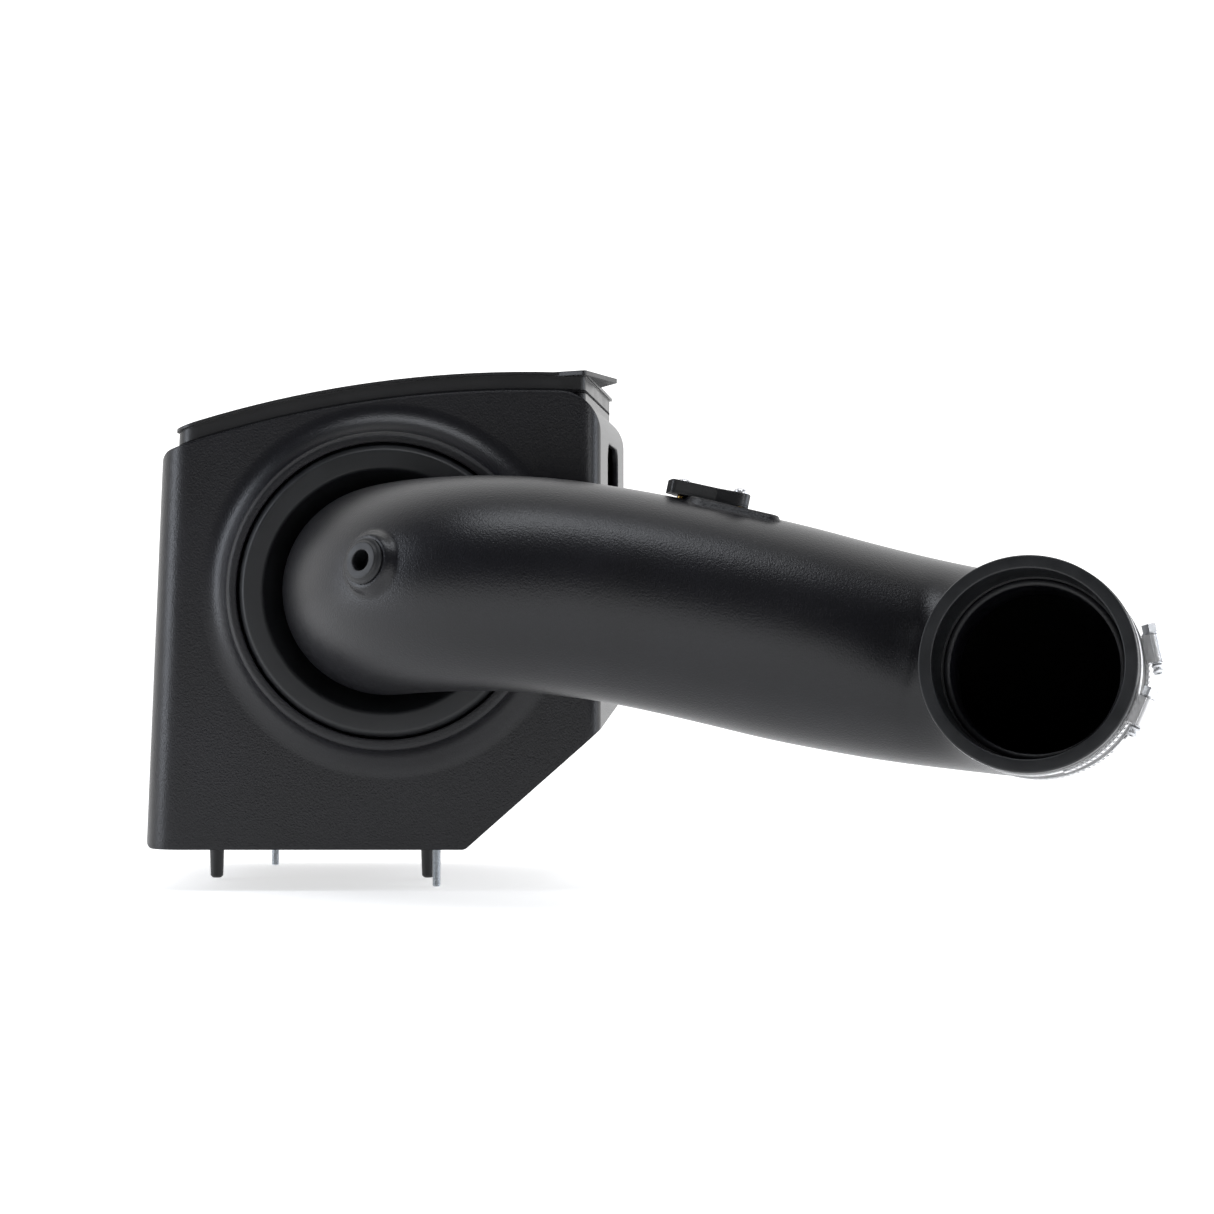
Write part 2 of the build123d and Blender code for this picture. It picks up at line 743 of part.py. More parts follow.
# ------------------------------------------------------------------ intake tube
pad_screws = [(sensor_near_x, -sensor_screw_y), (sensor_far_x, sensor_screw_y)]
with BuildPart() as intake_tube:
    add(tube_core(0))
    add(tube_ends(0))
    with BuildSketch(pad_plane):
        RectangleRounded(pad_length, pad_width, pad_corner_r)
    extrude(amount=-pad_depth)
    add(
        turned(
            gauge_plane,
            (0, -gauge_boss_h),
            (gauge_boss_r + gauge_boss_taper, -gauge_boss_h),
            (gauge_boss_r, 0),
            (gauge_boss_r - gauge_boss_taper, gauge_boss_h),
            (0, gauge_boss_h),
        )
    )
    add(tube_core(tube_wall), mode=Mode.SUBTRACT)
    add(tube_ends(tube_wall), mode=Mode.SUBTRACT)
    with BuildSketch(gauge_plane.offset(gauge_boss_h)):
        Circle(grommet_body_r)
    extrude(amount=-4 * gauge_boss_h, mode=Mode.SUBTRACT)
    with BuildSketch(pad_plane):
        Circle(cover_spigot_r + thread_gap)
    extrude(amount=-pad_depth, mode=Mode.SUBTRACT)
    with BuildSketch(pad_plane):
        with Locations(*pad_screws):
            Circle(m4_insert_r)
    extrude(amount=-m4_insert_length, mode=Mode.SUBTRACT)
intake_tube.part.label = "intake_tube"
export_step(intake_tube.part, "parts/intake_tube.step")

# ------------------------------------------------------------------ sensor pad
def cover_outline():
    """The cover's footprint: a rounded block with an ear at each of its two screws."""
    with BuildSketch() as outline:
        with Locations((cover_centre_x, 0)):
            RectangleRounded(cover_length, cover_width, cover_corner_r)
        for x, y in pad_screws:
            with Locations((x, y)):
                Circle(cover_ear_r)
            with Locations(((x + cover_centre_x) / 2, y / 2)):
                reach = sqrt((x - cover_centre_x) ** 2 + y**2)
                angle = degrees(atan2(y, x - cover_centre_x))
                Rectangle(reach, 2 * cover_ear_r, rotation=angle)
    return outline.sketch


with BuildPart() as sensor_gasket:
    with BuildSketch(pad_plane):
        add(cover_outline())
        Circle(cover_spigot_r + thread_gap, mode=Mode.SUBTRACT)
        with Locations(*pad_screws):
            Circle(m4_r + thread_gap, mode=Mode.SUBTRACT)
    extrude(amount=gasket_t)
sensor_gasket.part.label = "sensor_gasket"
export_step(sensor_gasket.part, "parts/sensor_gasket.step")

with BuildPart() as sensor_cover:
    with BuildSketch(pad_plane.offset(gasket_t)):
        add(cover_outline())
    extrude(amount=cover_height)
    cover_top = sensor_cover.faces().sort_by(Axis(pad_plane.origin, pad_plane.z_dir))[-1]
    fillet(cover_top.edges(), cover_edge_r)
    with BuildSketch(pad_plane.offset(gasket_t)):
        Circle(cover_spigot_r)
        Circle(cover_spigot_r - cover_spigot_t, mode=Mode.SUBTRACT)
    extrude(amount=-cover_spigot_length)
    with BuildSketch(pad_plane.offset(gasket_t + cover_height)):
        with Locations(*pad_screws):
            Circle(m4_r + thread_gap)
    extrude(amount=-cover_height, mode=Mode.SUBTRACT)
sensor_cover.part.label = "sensor_cover"
export_step(sensor_cover.part, "parts/sensor_cover.step")

screw_seat = gasket_t + cover_height
with BuildPart() as sensor_screws:
    for x, y in pad_screws:
        seat = Plane(
            origin=pad_plane.from_local_coords(Vector(x, y, screw_seat)),
            x_dir=pad_plane.x_dir,
            z_dir=pad_plane.z_dir,
        )
        length = screw_seat + m4_insert_length - step_gap
        add(button_screw(seat, m4_r, length, m4_head_r, m4_head_h))
sensor_screws.part.label = "sensor_screws"
export_step(sensor_screws.part, "parts/sensor_screws.step")

with BuildPart() as sensor_inserts:
    with BuildSketch(pad_plane):
        with Locations(*pad_screws):
            Circle(m4_insert_r)
            Circle(m4_r, mode=Mode.SUBTRACT)
    extrude(amount=-m4_insert_length)
sensor_inserts.part.label = "sensor_inserts"
export_step(sensor_inserts.part, "parts/sensor_inserts.step")

# ------------------------------------------------------------------ gauge grommet
grommet_top = gauge_boss_h + grommet_flange_t
with BuildPart() as gauge_grommet:
    add(
        turned(
            gauge_plane,
            (grommet_hole_r, grommet_top + grommet_face_rise),
            (grommet_face_r - grommet_face_rise, grommet_top + grommet_face_rise),
            (grommet_face_r, grommet_top),
            (grommet_flange_r, gauge_boss_h + grommet_flange_edge),
            (grommet_flange_r, gauge_boss_h),
            (grommet_body_r, gauge_boss_h),
            (grommet_body_r, -tube_wall - grommet_inside),
            (grommet_hole_r, -tube_wall - grommet_inside),
        )
    )
gauge_grommet.part.label = "gauge_grommet"
export_step(gauge_grommet.part, "parts/gauge_grommet.step")

# ------------------------------------------------------------------ outlet coupler
coupler_r = outlet_bore_r + coupler_wall
with BuildPart() as outlet_coupler:
    with BuildSketch(mouth_plane):
        Circle(coupler_r)
        Circle(outlet_neck_r, mode=Mode.SUBTRACT)
    extrude(amount=-coupler_length)
    with BuildSketch(mouth_plane):
        Circle(outlet_bore_r)
    extrude(amount=-coupler_overhang, mode=Mode.SUBTRACT)
    ends = outlet_coupler.faces().filter_by(GeomType.PLANE).sort_by(SortBy.AREA)[-2:]
    fillet(ends.edges().filter_by(GeomType.CIRCLE), coupler_edge_r)
outlet_coupler.part.label = "outlet_coupler"
export_step(outlet_coupler.part, "parts/outlet_coupler.step")


# ------------------------------------------------------------------ worm-drive clamps
def ring_sketch(inner_r, outer_r, first, last):
    """A stretch of a flat ring between two angles, as a sketch about its own centre."""
    reach = outer_r * 2
    with BuildSketch() as ring:
        Circle(outer_r)
        Circle(inner_r, mode=Mode.SUBTRACT)
        with BuildLine():
            points = [(0, 0)]
            steps = 4
            for step in range(steps + 1):
                angle = radians(first + (last - first) * step / steps)
                points.append((reach * cos(angle), reach * sin(angle)))
            Polyline(*points, close=True)
        make_face(mode=Mode.INTERSECT)
    return ring.sketch


def band_slots(ring_r, first, last):
    """Slots through a band at every thread pitch from one angle to another."""
    count = int(radians(last - first) * ring_r / slot_pitch)
    with BuildPart() as slots:
        for index in range(count):
            turned_by = radians(first) + (index + 0.5) * slot_pitch / ring_r
            radial = Plane(
                origin=(ring_r * cos(turned_by), ring_r * sin(turned_by), 0),
                x_dir=(0, 0, 1),
                z_dir=(cos(turned_by), sin(turned_by), 0),
            )
            with BuildSketch(radial.offset(-slot_width)):
                SlotOverall(slot_length, slot_width, rotation=slot_lean)
            extrude(amount=3 * slot_width)
    return slots.part


def clamp_band(ring_r):
    """The band, closed round the hose, with its slotted stretch below the screw housing."""
    with BuildPart() as band:
        with BuildSketch(Plane.XY.offset(-band_width / 2)):
            Circle(ring_r + band_t)
            Circle(ring_r, mode=Mode.SUBTRACT)
        extrude(amount=band_width)
        add(band_slots(ring_r, -band_slot_end, -band_slot_start), mode=Mode.SUBTRACT)
    return band.part


def clamp_tail(ring_r):
    """The band's loose end, lying on the band from inside the housing."""
    inner_r = ring_r + band_t + tail_gap
    with BuildPart() as tail:
        with BuildSketch(Plane.XY.offset(-tail_width / 2)):
            add(ring_sketch(inner_r, inner_r + band_t, -tail_angle, 0))
        extrude(amount=tail_width)
        slots = band_slots(ring_r, band_slot_margin - tail_angle, -band_slot_margin)
        add(slots, mode=Mode.SUBTRACT)
    return tail.part


def worm_x(ring_r):
    """How far the screw's axis is from the middle of the ring."""
    return ring_r + 2 * band_t + tail_gap + worm_gap + worm_r


def clamp_housing(ring_r):
    """The pressed housing over the screw, whose feet hold the band's edges."""
    axis_x = worm_x(ring_r)
    outside = worm_r + worm_gap + housing_wall
    with BuildPart() as housing:
        with BuildSketch(Plane.XZ.offset(-housing_length / 2)):
            with Locations((axis_x, 0)):
                Circle(outside)
            with Locations(((ring_r + axis_x) / 2 + housing_foot / 2, 0)):
                Rectangle(axis_x - ring_r - housing_foot, band_width + 2 * housing_wall)
            with Locations((axis_x, 0)):
                Circle(worm_r + worm_gap, mode=Mode.SUBTRACT)
        extrude(amount=housing_length)
        with BuildSketch(Plane.XY.offset(-band_width / 2)):
            Circle(ring_r + 2 * band_t + 2 * tail_gap)
        extrude(amount=band_width, mode=Mode.SUBTRACT)
        with BuildSketch(Plane.XY.offset(-band_width)):
            Circle(ring_r + housing_foot / 2)
        extrude(amount=2 * band_width, mode=Mode.SUBTRACT)
    return housing.part


def clamp_screw(ring_r):
    """The worm screw: a threaded shank, and a slotted hexagon head on a flange."""
    seat = Plane(
        origin=(worm_x(ring_r), housing_length / 2 + worm_gap, 0), x_dir=(0, 0, 1), z_dir=(0, 1, 0)
    )
    crests = int((worm_length - hex_flange_t) / slot_pitch)
    outline = [(0, hex_flange_t), (hex_flange_r, hex_flange_t), (hex_flange_r, 0)]
    outline += [(worm_core_r, 0)]
    for crest in range(crests):
        height = -slot_pitch * (crest + 0.5)
        outline += [
            (worm_core_r, height),
            (worm_r, height - slot_pitch * 0.35),
            (worm_core_r, height - slot_pitch * 0.7),
        ]
    outline += [(worm_core_r, -worm_length), (0, -worm_length)]
    with BuildPart() as screw:
        add(turned(seat, *outline))
        with BuildSketch(seat.offset(hex_flange_t)):
            RegularPolygon(hex_flats / 2, 6, major_radius=False)
        extrude(amount=hex_height)
        with BuildSketch(seat.offset(hex_flange_t + hex_height)):
            Rectangle(driver_slot, 2 * hex_flats)
        extrude(amount=-hex_height / 2, mode=Mode.SUBTRACT)
    return screw.part


sleeve_r = neck_r_outer + filter_gap + filter_sleeve_t
filter_clamp_y = filter_start + filter_sleeve_length * filter_clamp_share
clamps = {
    "near_clamp": (coupler_r, mouth_plane.offset(-near_clamp_back), near_clamp_angle),
    "far_clamp": (coupler_r, mouth_plane.offset(-far_clamp_back), far_clamp_angle),
    "filter_clamp": (sleeve_r, port_plane.offset(filter_clamp_y), filter_clamp_angle),
}
clamp_pieces = {
    "band": clamp_band, "tail": clamp_tail, "housing": clamp_housing, "screw": clamp_screw
}
for clamp, (ring_r, across, angle) in clamps.items():
    for piece, make in clamp_pieces.items():
        made = make(ring_r).moved(across.location * Location((0, 0, 0), (0, 0, angle)))
        made.label = f"{clamp}_{piece}"
        export_step(made, f"parts/{made.label}.step")

# ------------------------------------------------------------------ filter
sleeve_end = filter_start + filter_sleeve_length
base_end = sleeve_end + filter_base_t
media_end = base_end + filter_length
filter_mouth_r = filter_base_r - filter_pleat_depth - filter_base_lip
plug_r = filter_tip_r - filter_pleat_depth - filter_cap_lip
with BuildPart() as filter_flange:
    add(
        turned(
            port_plane,
            (neck_r_outer + filter_gap, filter_start),
            (sleeve_r, filter_start),
            (sleeve_r, sleeve_end - step_gap),
            (filter_base_r - filter_base_round, sleeve_end - step_gap),
            (filter_base_r, sleeve_end - step_gap + filter_base_round),
            (filter_base_r, base_end),
            (filter_mouth_r, base_end),
            (filter_mouth_r, neck_inside + step_gap),
            (neck_r_outer + filter_gap, neck_inside + step_gap),
        )
    )
filter_flange.part.label = "filter_flange"
export_step(filter_flange.part, "parts/filter_flange.step")


def cone_ring(depth, thickness):
    """A conical ring along the pleats, from a depth below the filter's outside."""
    base, tip = filter_base_r - depth, filter_tip_r - depth
    return turned(
        port_plane,
        (base, base_end),
        (base - thickness, base_end),
        (tip - thickness, media_end),
        (tip, media_end),
    )


pleat_top = filter_rim + screen_t
layers = {
    "filter_outer_screen": cone_ring(filter_rim, screen_t),
    "filter_media": cone_ring(pleat_top, filter_pleat_depth),
    "filter_inner_screen": cone_ring(pleat_top + filter_pleat_depth, screen_t),
}
for layer, made in layers.items():
    made.label = layer
    export_step(made, f"parts/{layer}.step")

with BuildPart() as filter_end_cap:
    add(
        turned(
            port_plane,
            (0, media_end + filter_cap_plug),
            (plug_r, media_end + filter_cap_plug),
            (plug_r, media_end),
            (filter_tip_r, media_end),
            (filter_tip_r, media_end + filter_cap_t - filter_cap_edge),
            (filter_tip_r - filter_cap_edge, media_end + filter_cap_t),
            (filter_tip_r - filter_cap_rim, media_end + filter_cap_t),
            (filter_tip_r - filter_cap_dish, media_end + filter_cap_t - filter_cap_edge),
            (0, media_end + filter_cap_t - filter_cap_edge),
        )
    )
filter_end_cap.part.label = "filter_end_cap"
export_step(filter_end_cap.part, "parts/filter_end_cap.step")
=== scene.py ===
import json
import math

import bpy
import numpy as np
from bpy.props import FloatProperty, FloatVectorProperty, IntProperty, PointerProperty
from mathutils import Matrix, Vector


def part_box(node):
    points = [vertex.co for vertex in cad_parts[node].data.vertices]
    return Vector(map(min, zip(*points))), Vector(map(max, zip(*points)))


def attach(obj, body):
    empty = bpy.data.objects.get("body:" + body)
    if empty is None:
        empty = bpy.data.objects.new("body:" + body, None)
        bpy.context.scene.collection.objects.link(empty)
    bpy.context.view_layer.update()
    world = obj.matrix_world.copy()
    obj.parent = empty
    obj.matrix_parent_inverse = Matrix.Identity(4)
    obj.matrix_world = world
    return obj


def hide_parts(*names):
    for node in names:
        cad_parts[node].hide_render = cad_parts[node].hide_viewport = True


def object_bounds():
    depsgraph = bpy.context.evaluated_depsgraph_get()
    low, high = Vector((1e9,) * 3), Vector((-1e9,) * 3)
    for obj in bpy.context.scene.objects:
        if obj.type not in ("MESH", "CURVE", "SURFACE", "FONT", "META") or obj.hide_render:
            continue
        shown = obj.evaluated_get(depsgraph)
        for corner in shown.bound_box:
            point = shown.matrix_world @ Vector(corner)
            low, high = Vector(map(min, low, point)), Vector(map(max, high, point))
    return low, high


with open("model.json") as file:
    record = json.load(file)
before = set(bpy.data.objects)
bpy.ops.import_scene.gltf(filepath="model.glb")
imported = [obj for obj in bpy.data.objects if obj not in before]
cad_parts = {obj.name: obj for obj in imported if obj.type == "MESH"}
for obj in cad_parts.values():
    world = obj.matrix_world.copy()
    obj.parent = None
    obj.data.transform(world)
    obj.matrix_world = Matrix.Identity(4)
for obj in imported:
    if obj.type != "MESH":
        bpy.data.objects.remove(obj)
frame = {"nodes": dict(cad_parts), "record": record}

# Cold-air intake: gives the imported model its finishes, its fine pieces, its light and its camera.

bl_info = {
    "name": "Cold-air intake",
    "version": (1, 0, 0),
    "blender": (4, 5, 0),
    "location": "3D View > Sidebar > Intake",
    "description": "Finishes, fine pieces, light and camera for a car engine's cold-air intake",
    "category": "Object",
}

CAD_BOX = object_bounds()
NODES = frame["nodes"]
MOUNTS = {mount["name"]: mount for mount in frame["record"]["mounts"]}
MM = 0.001
TAU = 2 * math.pi


# ------------------------------------------------------------------ places read from the frame
def middle(node):
    """The middle of a CAD node's box."""
    low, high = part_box(node)
    return (np.array(low) + np.array(high)) / 2


def unit(vector):
    """A vector of length one along the last axis of an array."""
    vector = np.asarray(vector, float)
    return vector / np.linalg.norm(vector, axis=-1, keepdims=True)


PORT = middle("port_seal")
OUTLET_DIR = unit(MOUNTS["outlet_bore"]["axis"])
OUTLET_BORE = MOUNTS["outlet_bore"]["dims"]["r_mm"] * MM
GAUGE = np.array(MOUNTS["gauge_port"]["pos_m"])
GAUGE_DIR = unit(MOUNTS["gauge_port"]["axis"])
BORE_MOUNT_BACK = 20 * MM      # from the coupler's mouth to its mount
MOUTH = np.array(MOUNTS["outlet_bore"]["pos_m"]) + OUTLET_DIR * BORE_MOUNT_BACK
STUD_R = MOUNTS["mounting_studs"]["dims"]["stud_r_mm"] * MM


# ------------------------------------------------------------------ what a user may change
class IntakeSizes(bpy.types.PropertyGroup):
    """Sizes of the fine pieces."""

    tube_wall: FloatProperty(
        name="Tube wall", description="Wall of the intake tube", default=4 * MM, unit="LENGTH"
    )
    pad_blend: FloatProperty(
        name="Pad blend", description="Width of the sweep from the tube into the sensor pad",
        default=2.2 * MM, unit="LENGTH",
    )
    boss_blend: FloatProperty(
        name="Boss blend", description="Width of the sweep from the tube into the gauge boss",
        default=5 * MM, unit="LENGTH",
    )
    pleats: IntProperty(
        name="Pleats", description="Number of folds in the filter", default=64, min=12
    )
    wire_spacing: FloatProperty(
        name="Wire spacing", description="Distance between the wires of the filter's screens",
        default=5.2 * MM, unit="LENGTH",
    )
    stud_pitch: FloatProperty(
        name="Stud thread pitch", description="Thread pitch of the studs", default=1 * MM,
        unit="LENGTH",
    )


def colour_property(name, description, value):
    """A colour shown in the panel as a swatch."""
    return FloatVectorProperty(
        name=name, description=description, default=linear(value), size=3, subtype="COLOR",
        min=0, max=1,
    )


def linear(value):
    """A linear colour from an sRGB hex value: the standard sRGB curve, channel by channel."""
    channels = [int(value[i : i + 2], 16) / 255 for i in (0, 2, 4)]
    return tuple(c / 12.92 if c <= 0.04045 else ((c + 0.055) / 1.055) ** 2.4 for c in channels)


class IntakeColours(bpy.types.PropertyGroup):
    """Colours of the finishes."""

    moulding: colour_property("Moulding", "Textured black plastic of box and tube", "0d0d11")
    satin: colour_property("Satin plastic", "Smooth black plastic of lid and cover", "111113")
    rubber: colour_property("Rubber", "Black rubber of seals and coupler", "131416")
    cotton: colour_property("Filter cotton", "Oiled cotton gauze", "a3261f")
    floor: colour_property("Floor", "Studio floor", "f7f7f7")


# ------------------------------------------------------------------ materials
def node(tree, kind, inputs=None, **settings):
    """Adds a node, sets its settings, and sets or links its inputs by name or number."""
    made = tree.nodes.new(kind)
    for key, value in settings.items():
        setattr(made, key, value)
    for key, value in (inputs or {}).items():
        if isinstance(value, bpy.types.NodeSocket):
            tree.links.new(value, made.inputs[key])
        else:
            made.inputs[key].default_value = value
    return made


def material(name, colour, roughness, metallic=0.0, specular=0.5):
    """A new material with its shader's own values set. Returns it with its tree and shader."""
    made = bpy.data.materials.new(name)
    made.use_nodes = True
    tree = made.node_tree
    shader = tree.nodes["Principled BSDF"]
    shader.inputs["Base Color"].default_value = (*colour, 1)
    shader.inputs["Roughness"].default_value = roughness
    shader.inputs["Metallic"].default_value = metallic
    shader.inputs["Specular IOR Level"].default_value = specular
    return made, tree, shader


def object_coordinates(tree, stretch=(1, 1, 1)):
    """Object coordinates, which a stretch under one draws out along its axis."""
    source = node(tree, "ShaderNodeTexCoord").outputs["Object"]
    return node(tree, "ShaderNodeMapping", {"Vector": source, "Scale": stretch}).outputs["Vector"]


def noise(tree, where, size_mm, detail):
    """A noise pattern with patches of a size."""
    inputs = {"Vector": where, "Scale": 1 / (size_mm * MM), "Detail": detail}
    return node(tree, "ShaderNodeTexNoise", inputs).outputs["Fac"]


def cells(tree, where, size_mm, **settings):
    """A pattern of cells of a size: the distance to the nearest cell's middle."""
    inputs = {"Vector": where, "Scale": 1 / (size_mm * MM)}
    return node(tree, "ShaderNodeTexVoronoi", inputs, **settings).outputs["Distance"]


def shade(colour, factor):
    """A colour made darker or lighter by a factor."""
    return tuple(min(c * factor, 1) for c in colour)


# Most of a noise pattern lies between these two. Below and above them a range or ramp is flat.
NOISE_LOW, NOISE_HIGH = 0.3, 0.7
SHADE_LOW, SHADE_HIGH = 0.35, 0.68


def mottle(tree, shader, where, colour, dark, light, size_mm):
    """Slow colour variation between a darker and a lighter shade, in patches of a size."""
    ramp = node(tree, "ShaderNodeValToRGB", {"Fac": noise(tree, where, size_mm, detail=3.0)})
    stops = zip(ramp.color_ramp.elements, (SHADE_LOW, SHADE_HIGH), (dark, light))
    for stop, position, factor in stops:
        stop.position = position
        stop.color = (*shade(colour, factor), 1)
    tree.links.new(ramp.outputs["Color"], shader.inputs["Base Color"])


def uneven_gloss(tree, shader, pattern, smooth, rough):
    """Roughness that wanders between two values with a noise pattern."""
    spread = node(
        tree, "ShaderNodeMapRange",
        {"Value": pattern, "From Min": NOISE_LOW, "From Max": NOISE_HIGH, "To Min": smooth,
         "To Max": rough},
    )
    tree.links.new(spread.outputs["Result"], shader.inputs["Roughness"])


def relief(tree, shader, height, depth_mm, strength, under=None):
    """Bump from a height pattern, with its depth in millimetres, over another bump if given."""
    inputs = {"Height": height, "Distance": depth_mm * MM, "Strength": strength}
    if under is not None:
        inputs["Normal"] = under
    bump = node(tree, "ShaderNodeBump", inputs)
    tree.links.new(bump.outputs["Normal"], shader.inputs["Normal"])
    return bump.outputs["Normal"]


def soft_edges(tree, radius_mm):
    """Normals that round off sharp edges by a radius."""
    return node(tree, "ShaderNodeBevel", {"Radius": radius_mm * MM}, samples=4).outputs["Normal"]


def textured_moulding(colours):
    """Polypropylene from a mould with a fine pebble grain: near black, its gloss broken into
    a speckle of tiny highlights, and slightly blue where it catches the light."""
    made, tree, shader = material("textured_moulding", colours.moulding, 0.33, specular=0.38)
    where = object_coordinates(tree)
    mottle(tree, shader, where, colours.moulding, dark=0.85, light=1.25, size_mm=55)
    pebbles = cells(tree, where, 1.2, feature="SMOOTH_F1")
    grain = noise(tree, where, 0.9, detail=2.0)
    edges = soft_edges(tree, 2.5)
    first = relief(tree, shader, pebbles, depth_mm=0.20, strength=0.5, under=edges)
    relief(tree, shader, grain, depth_mm=0.22, strength=0.5, under=first)
    return made


def satin_moulding(colours):
    """ABS from a polished mould: black, smooth, with soft broad highlights and slight haze."""
    made, tree, shader = material("satin_moulding", colours.satin, 0.36, specular=0.45)
    where = object_coordinates(tree)
    uneven_gloss(tree, shader, noise(tree, where, 30, detail=4.0), smooth=0.33, rough=0.42)
    skin = noise(tree, where, 9, detail=2.0)
    relief(tree, shader, skin, depth_mm=0.12, strength=0.25, under=soft_edges(tree, 0.8))
    return made


def moulded_rubber(name, colours, smooth, rough, factor=1.0):
    """EPDM rubber as moulded: dark grey-black, softly glossy, with a faint dusty bloom."""
    colour = shade(colours.rubber, factor)
    made, tree, shader = material(name, colour, smooth, specular=0.4)
    where = object_coordinates(tree)
    mottle(tree, shader, where, colour, dark=0.88, light=1.22, size_mm=24)
    uneven_gloss(tree, shader, noise(tree, where, 12, detail=4.0), smooth, rough)
    relief(tree, shader, noise(tree, where, 2.4, detail=3.0), depth_mm=0.08, strength=0.3)
    return made


def foam_strip():
    """Closed-cell foam: dull black, with fine open cells where it was cut."""
    made, tree, shader = material("foam_strip", linear("141416"), 0.9, specular=0.2)
    where = object_coordinates(tree)
    relief(tree, shader, cells(tree, where, 0.8), depth_mm=0.3, strength=0.8)
    return made


def steel(name, colour, roughness, grain_mm):
    """Bare metal: bright, with fine lines from rolling or turning along Z."""
    made, tree, shader = material(name, linear(colour), roughness, metallic=1.0)
    lines = noise(tree, object_coordinates(tree, stretch=(1, 1, 0.06)), grain_mm, detail=4.0)
    uneven_gloss(tree, shader, lines, smooth=roughness * 0.75, rough=roughness * 1.35)
    relief(tree, shader, lines, depth_mm=0.01, strength=0.2)
    return made


def oiled_cotton(colours):
    """Cotton gauze with tack oil: deep red, matt, with a broad weave and darker folds."""
    made, tree, shader = material("oiled_cotton", colours.cotton, 0.75, specular=0.3)
    where = object_coordinates(tree)
    mottle(tree, shader, where, colours.cotton, dark=0.55, light=1.15, size_mm=6)
    # Bands along and across. The node's wave is sin(20 x), so they lie 2 pi * 1.4 mm apart
    bands = {"Vector": where, "Scale": 1 / (20 * 1.4 * MM), "Distortion": 0.6}
    along, over = (
        node(tree, "ShaderNodeTexWave", bands, bands_direction=direction).outputs["Fac"]
        for direction in ("Y", "Z")
    )
    weave = node(tree, "ShaderNodeMath", {0: along, 1: over}, operation="MAXIMUM")
    relief(tree, shader, weave.outputs["Value"], depth_mm=0.35, strength=0.8)
    return made


def cast_urethane():
    """Cast urethane: black, rubbery and slightly glossy, with tiny pits from air bubbles."""
    made, tree, shader = material("cast_urethane", linear("18181a"), 0.5, specular=0.45)
    where = object_coordinates(tree)
    uneven_gloss(tree, shader, noise(tree, where, 15, detail=4.0), smooth=0.42, rough=0.6)
    # Only the middle of each cell dips
    distance = cells(tree, where, 3.2)
    pit = node(
        tree, "ShaderNodeMapRange", {"Value": distance, "From Min": 0.0, "From Max": 0.16}
    )
    relief(tree, shader, pit.outputs["Result"], depth_mm=0.15, strength=0.5)
    return made


FINISHES = {}      # by the record's material slot, filled by the finishes operator


def make_finishes(colours):
    """All finishes, by the name of the record's material slot."""
    return {
        "textured_plastic": textured_moulding(colours),
        "smooth_plastic": satin_moulding(colours),
        "seal_rubber": moulded_rubber("seal_rubber", colours, 0.40, 0.52),
        "coupler_rubber": moulded_rubber("coupler_rubber", colours, 0.36, 0.48, 1.1),
        "foam_rubber": foam_strip(),
        "filter_urethane": cast_urethane(),
        "filter_cotton": oiled_cotton(colours),
        "filter_mesh": steel("woven_wire", "b9bcc0", 0.34, 0.6),
        "brass": steel("machined_brass", "c9a35a", 0.28, 0.5),
        "stainless_screws": steel("stainless_screw", "d4d4d6", 0.32, 0.5),
        "zinc_steel": steel("zinc_plate", "c4c8cc", 0.3, 0.6),
        "clamp_steel": steel("rolled_stainless", "dededf", 0.38, 0.5),
        "clamp_screw_steel": steel("plated_screw", "d0d1d3", 0.38, 0.5),
    }


# ------------------------------------------------------------------ surfaces
def add_grid(name, points, close_u, close_v, cap=False):
    """A mesh from a grid of points, (u, v, 3). Either way round may be closed. With cap, each end
    row of u is closed by a fan to its middle."""
    rows, columns = points.shape[:2]
    flat = points.reshape(-1, 3)
    u = np.arange(rows if close_u else rows - 1)
    v = np.arange(columns if close_v else columns - 1)
    u, v = np.meshgrid(u, v, indexing="ij")
    next_u, next_v = (u + 1) % rows, (v + 1) % columns
    quads = np.stack(
        [u * columns + v, next_u * columns + v, next_u * columns + next_v, u * columns + next_v], -1
    ).reshape(-1, 4)
    faces = [quads]
    if cap:
        first, last = len(flat), len(flat) + 1
        flat = np.vstack([flat, points[0].mean(0), points[-1].mean(0)])
        ring = np.arange(columns)
        after = (ring + 1) % columns
        end = (rows - 1) * columns
        faces.append(np.stack([np.full(columns, first), ring, after], -1))
        faces.append(np.stack([end + ring, np.full(columns, last), end + after], -1))
    return mesh_object(name, flat, faces)


def mesh_object(name, points, faces):
    """A mesh object from points and a list of face arrays, with its faces turned outwards."""
    corners = np.concatenate([group.ravel() for group in faces])
    sizes = np.concatenate([np.full(len(group), group.shape[1]) for group in faces])
    mesh = bpy.data.meshes.new(name)
    mesh.vertices.add(len(points))
    mesh.vertices.foreach_set("co", np.ascontiguousarray(points, np.float32).ravel())
    mesh.loops.add(len(corners))
    mesh.loops.foreach_set("vertex_index", corners.astype(np.int32))
    mesh.polygons.add(len(sizes))
    starts = np.concatenate([[0], np.cumsum(sizes)[:-1]])
    mesh.polygons.foreach_set("loop_start", starts.astype(np.int32))
    mesh.update(calc_edges=True)
    mesh.validate()
    if enclosed_volume(mesh) < 0:
        mesh.flip_normals()
    mesh.polygons.foreach_set("use_smooth", np.ones(len(mesh.polygons), bool))
    made = bpy.data.objects.new(name, mesh)
    bpy.context.scene.collection.objects.link(made)
    return made


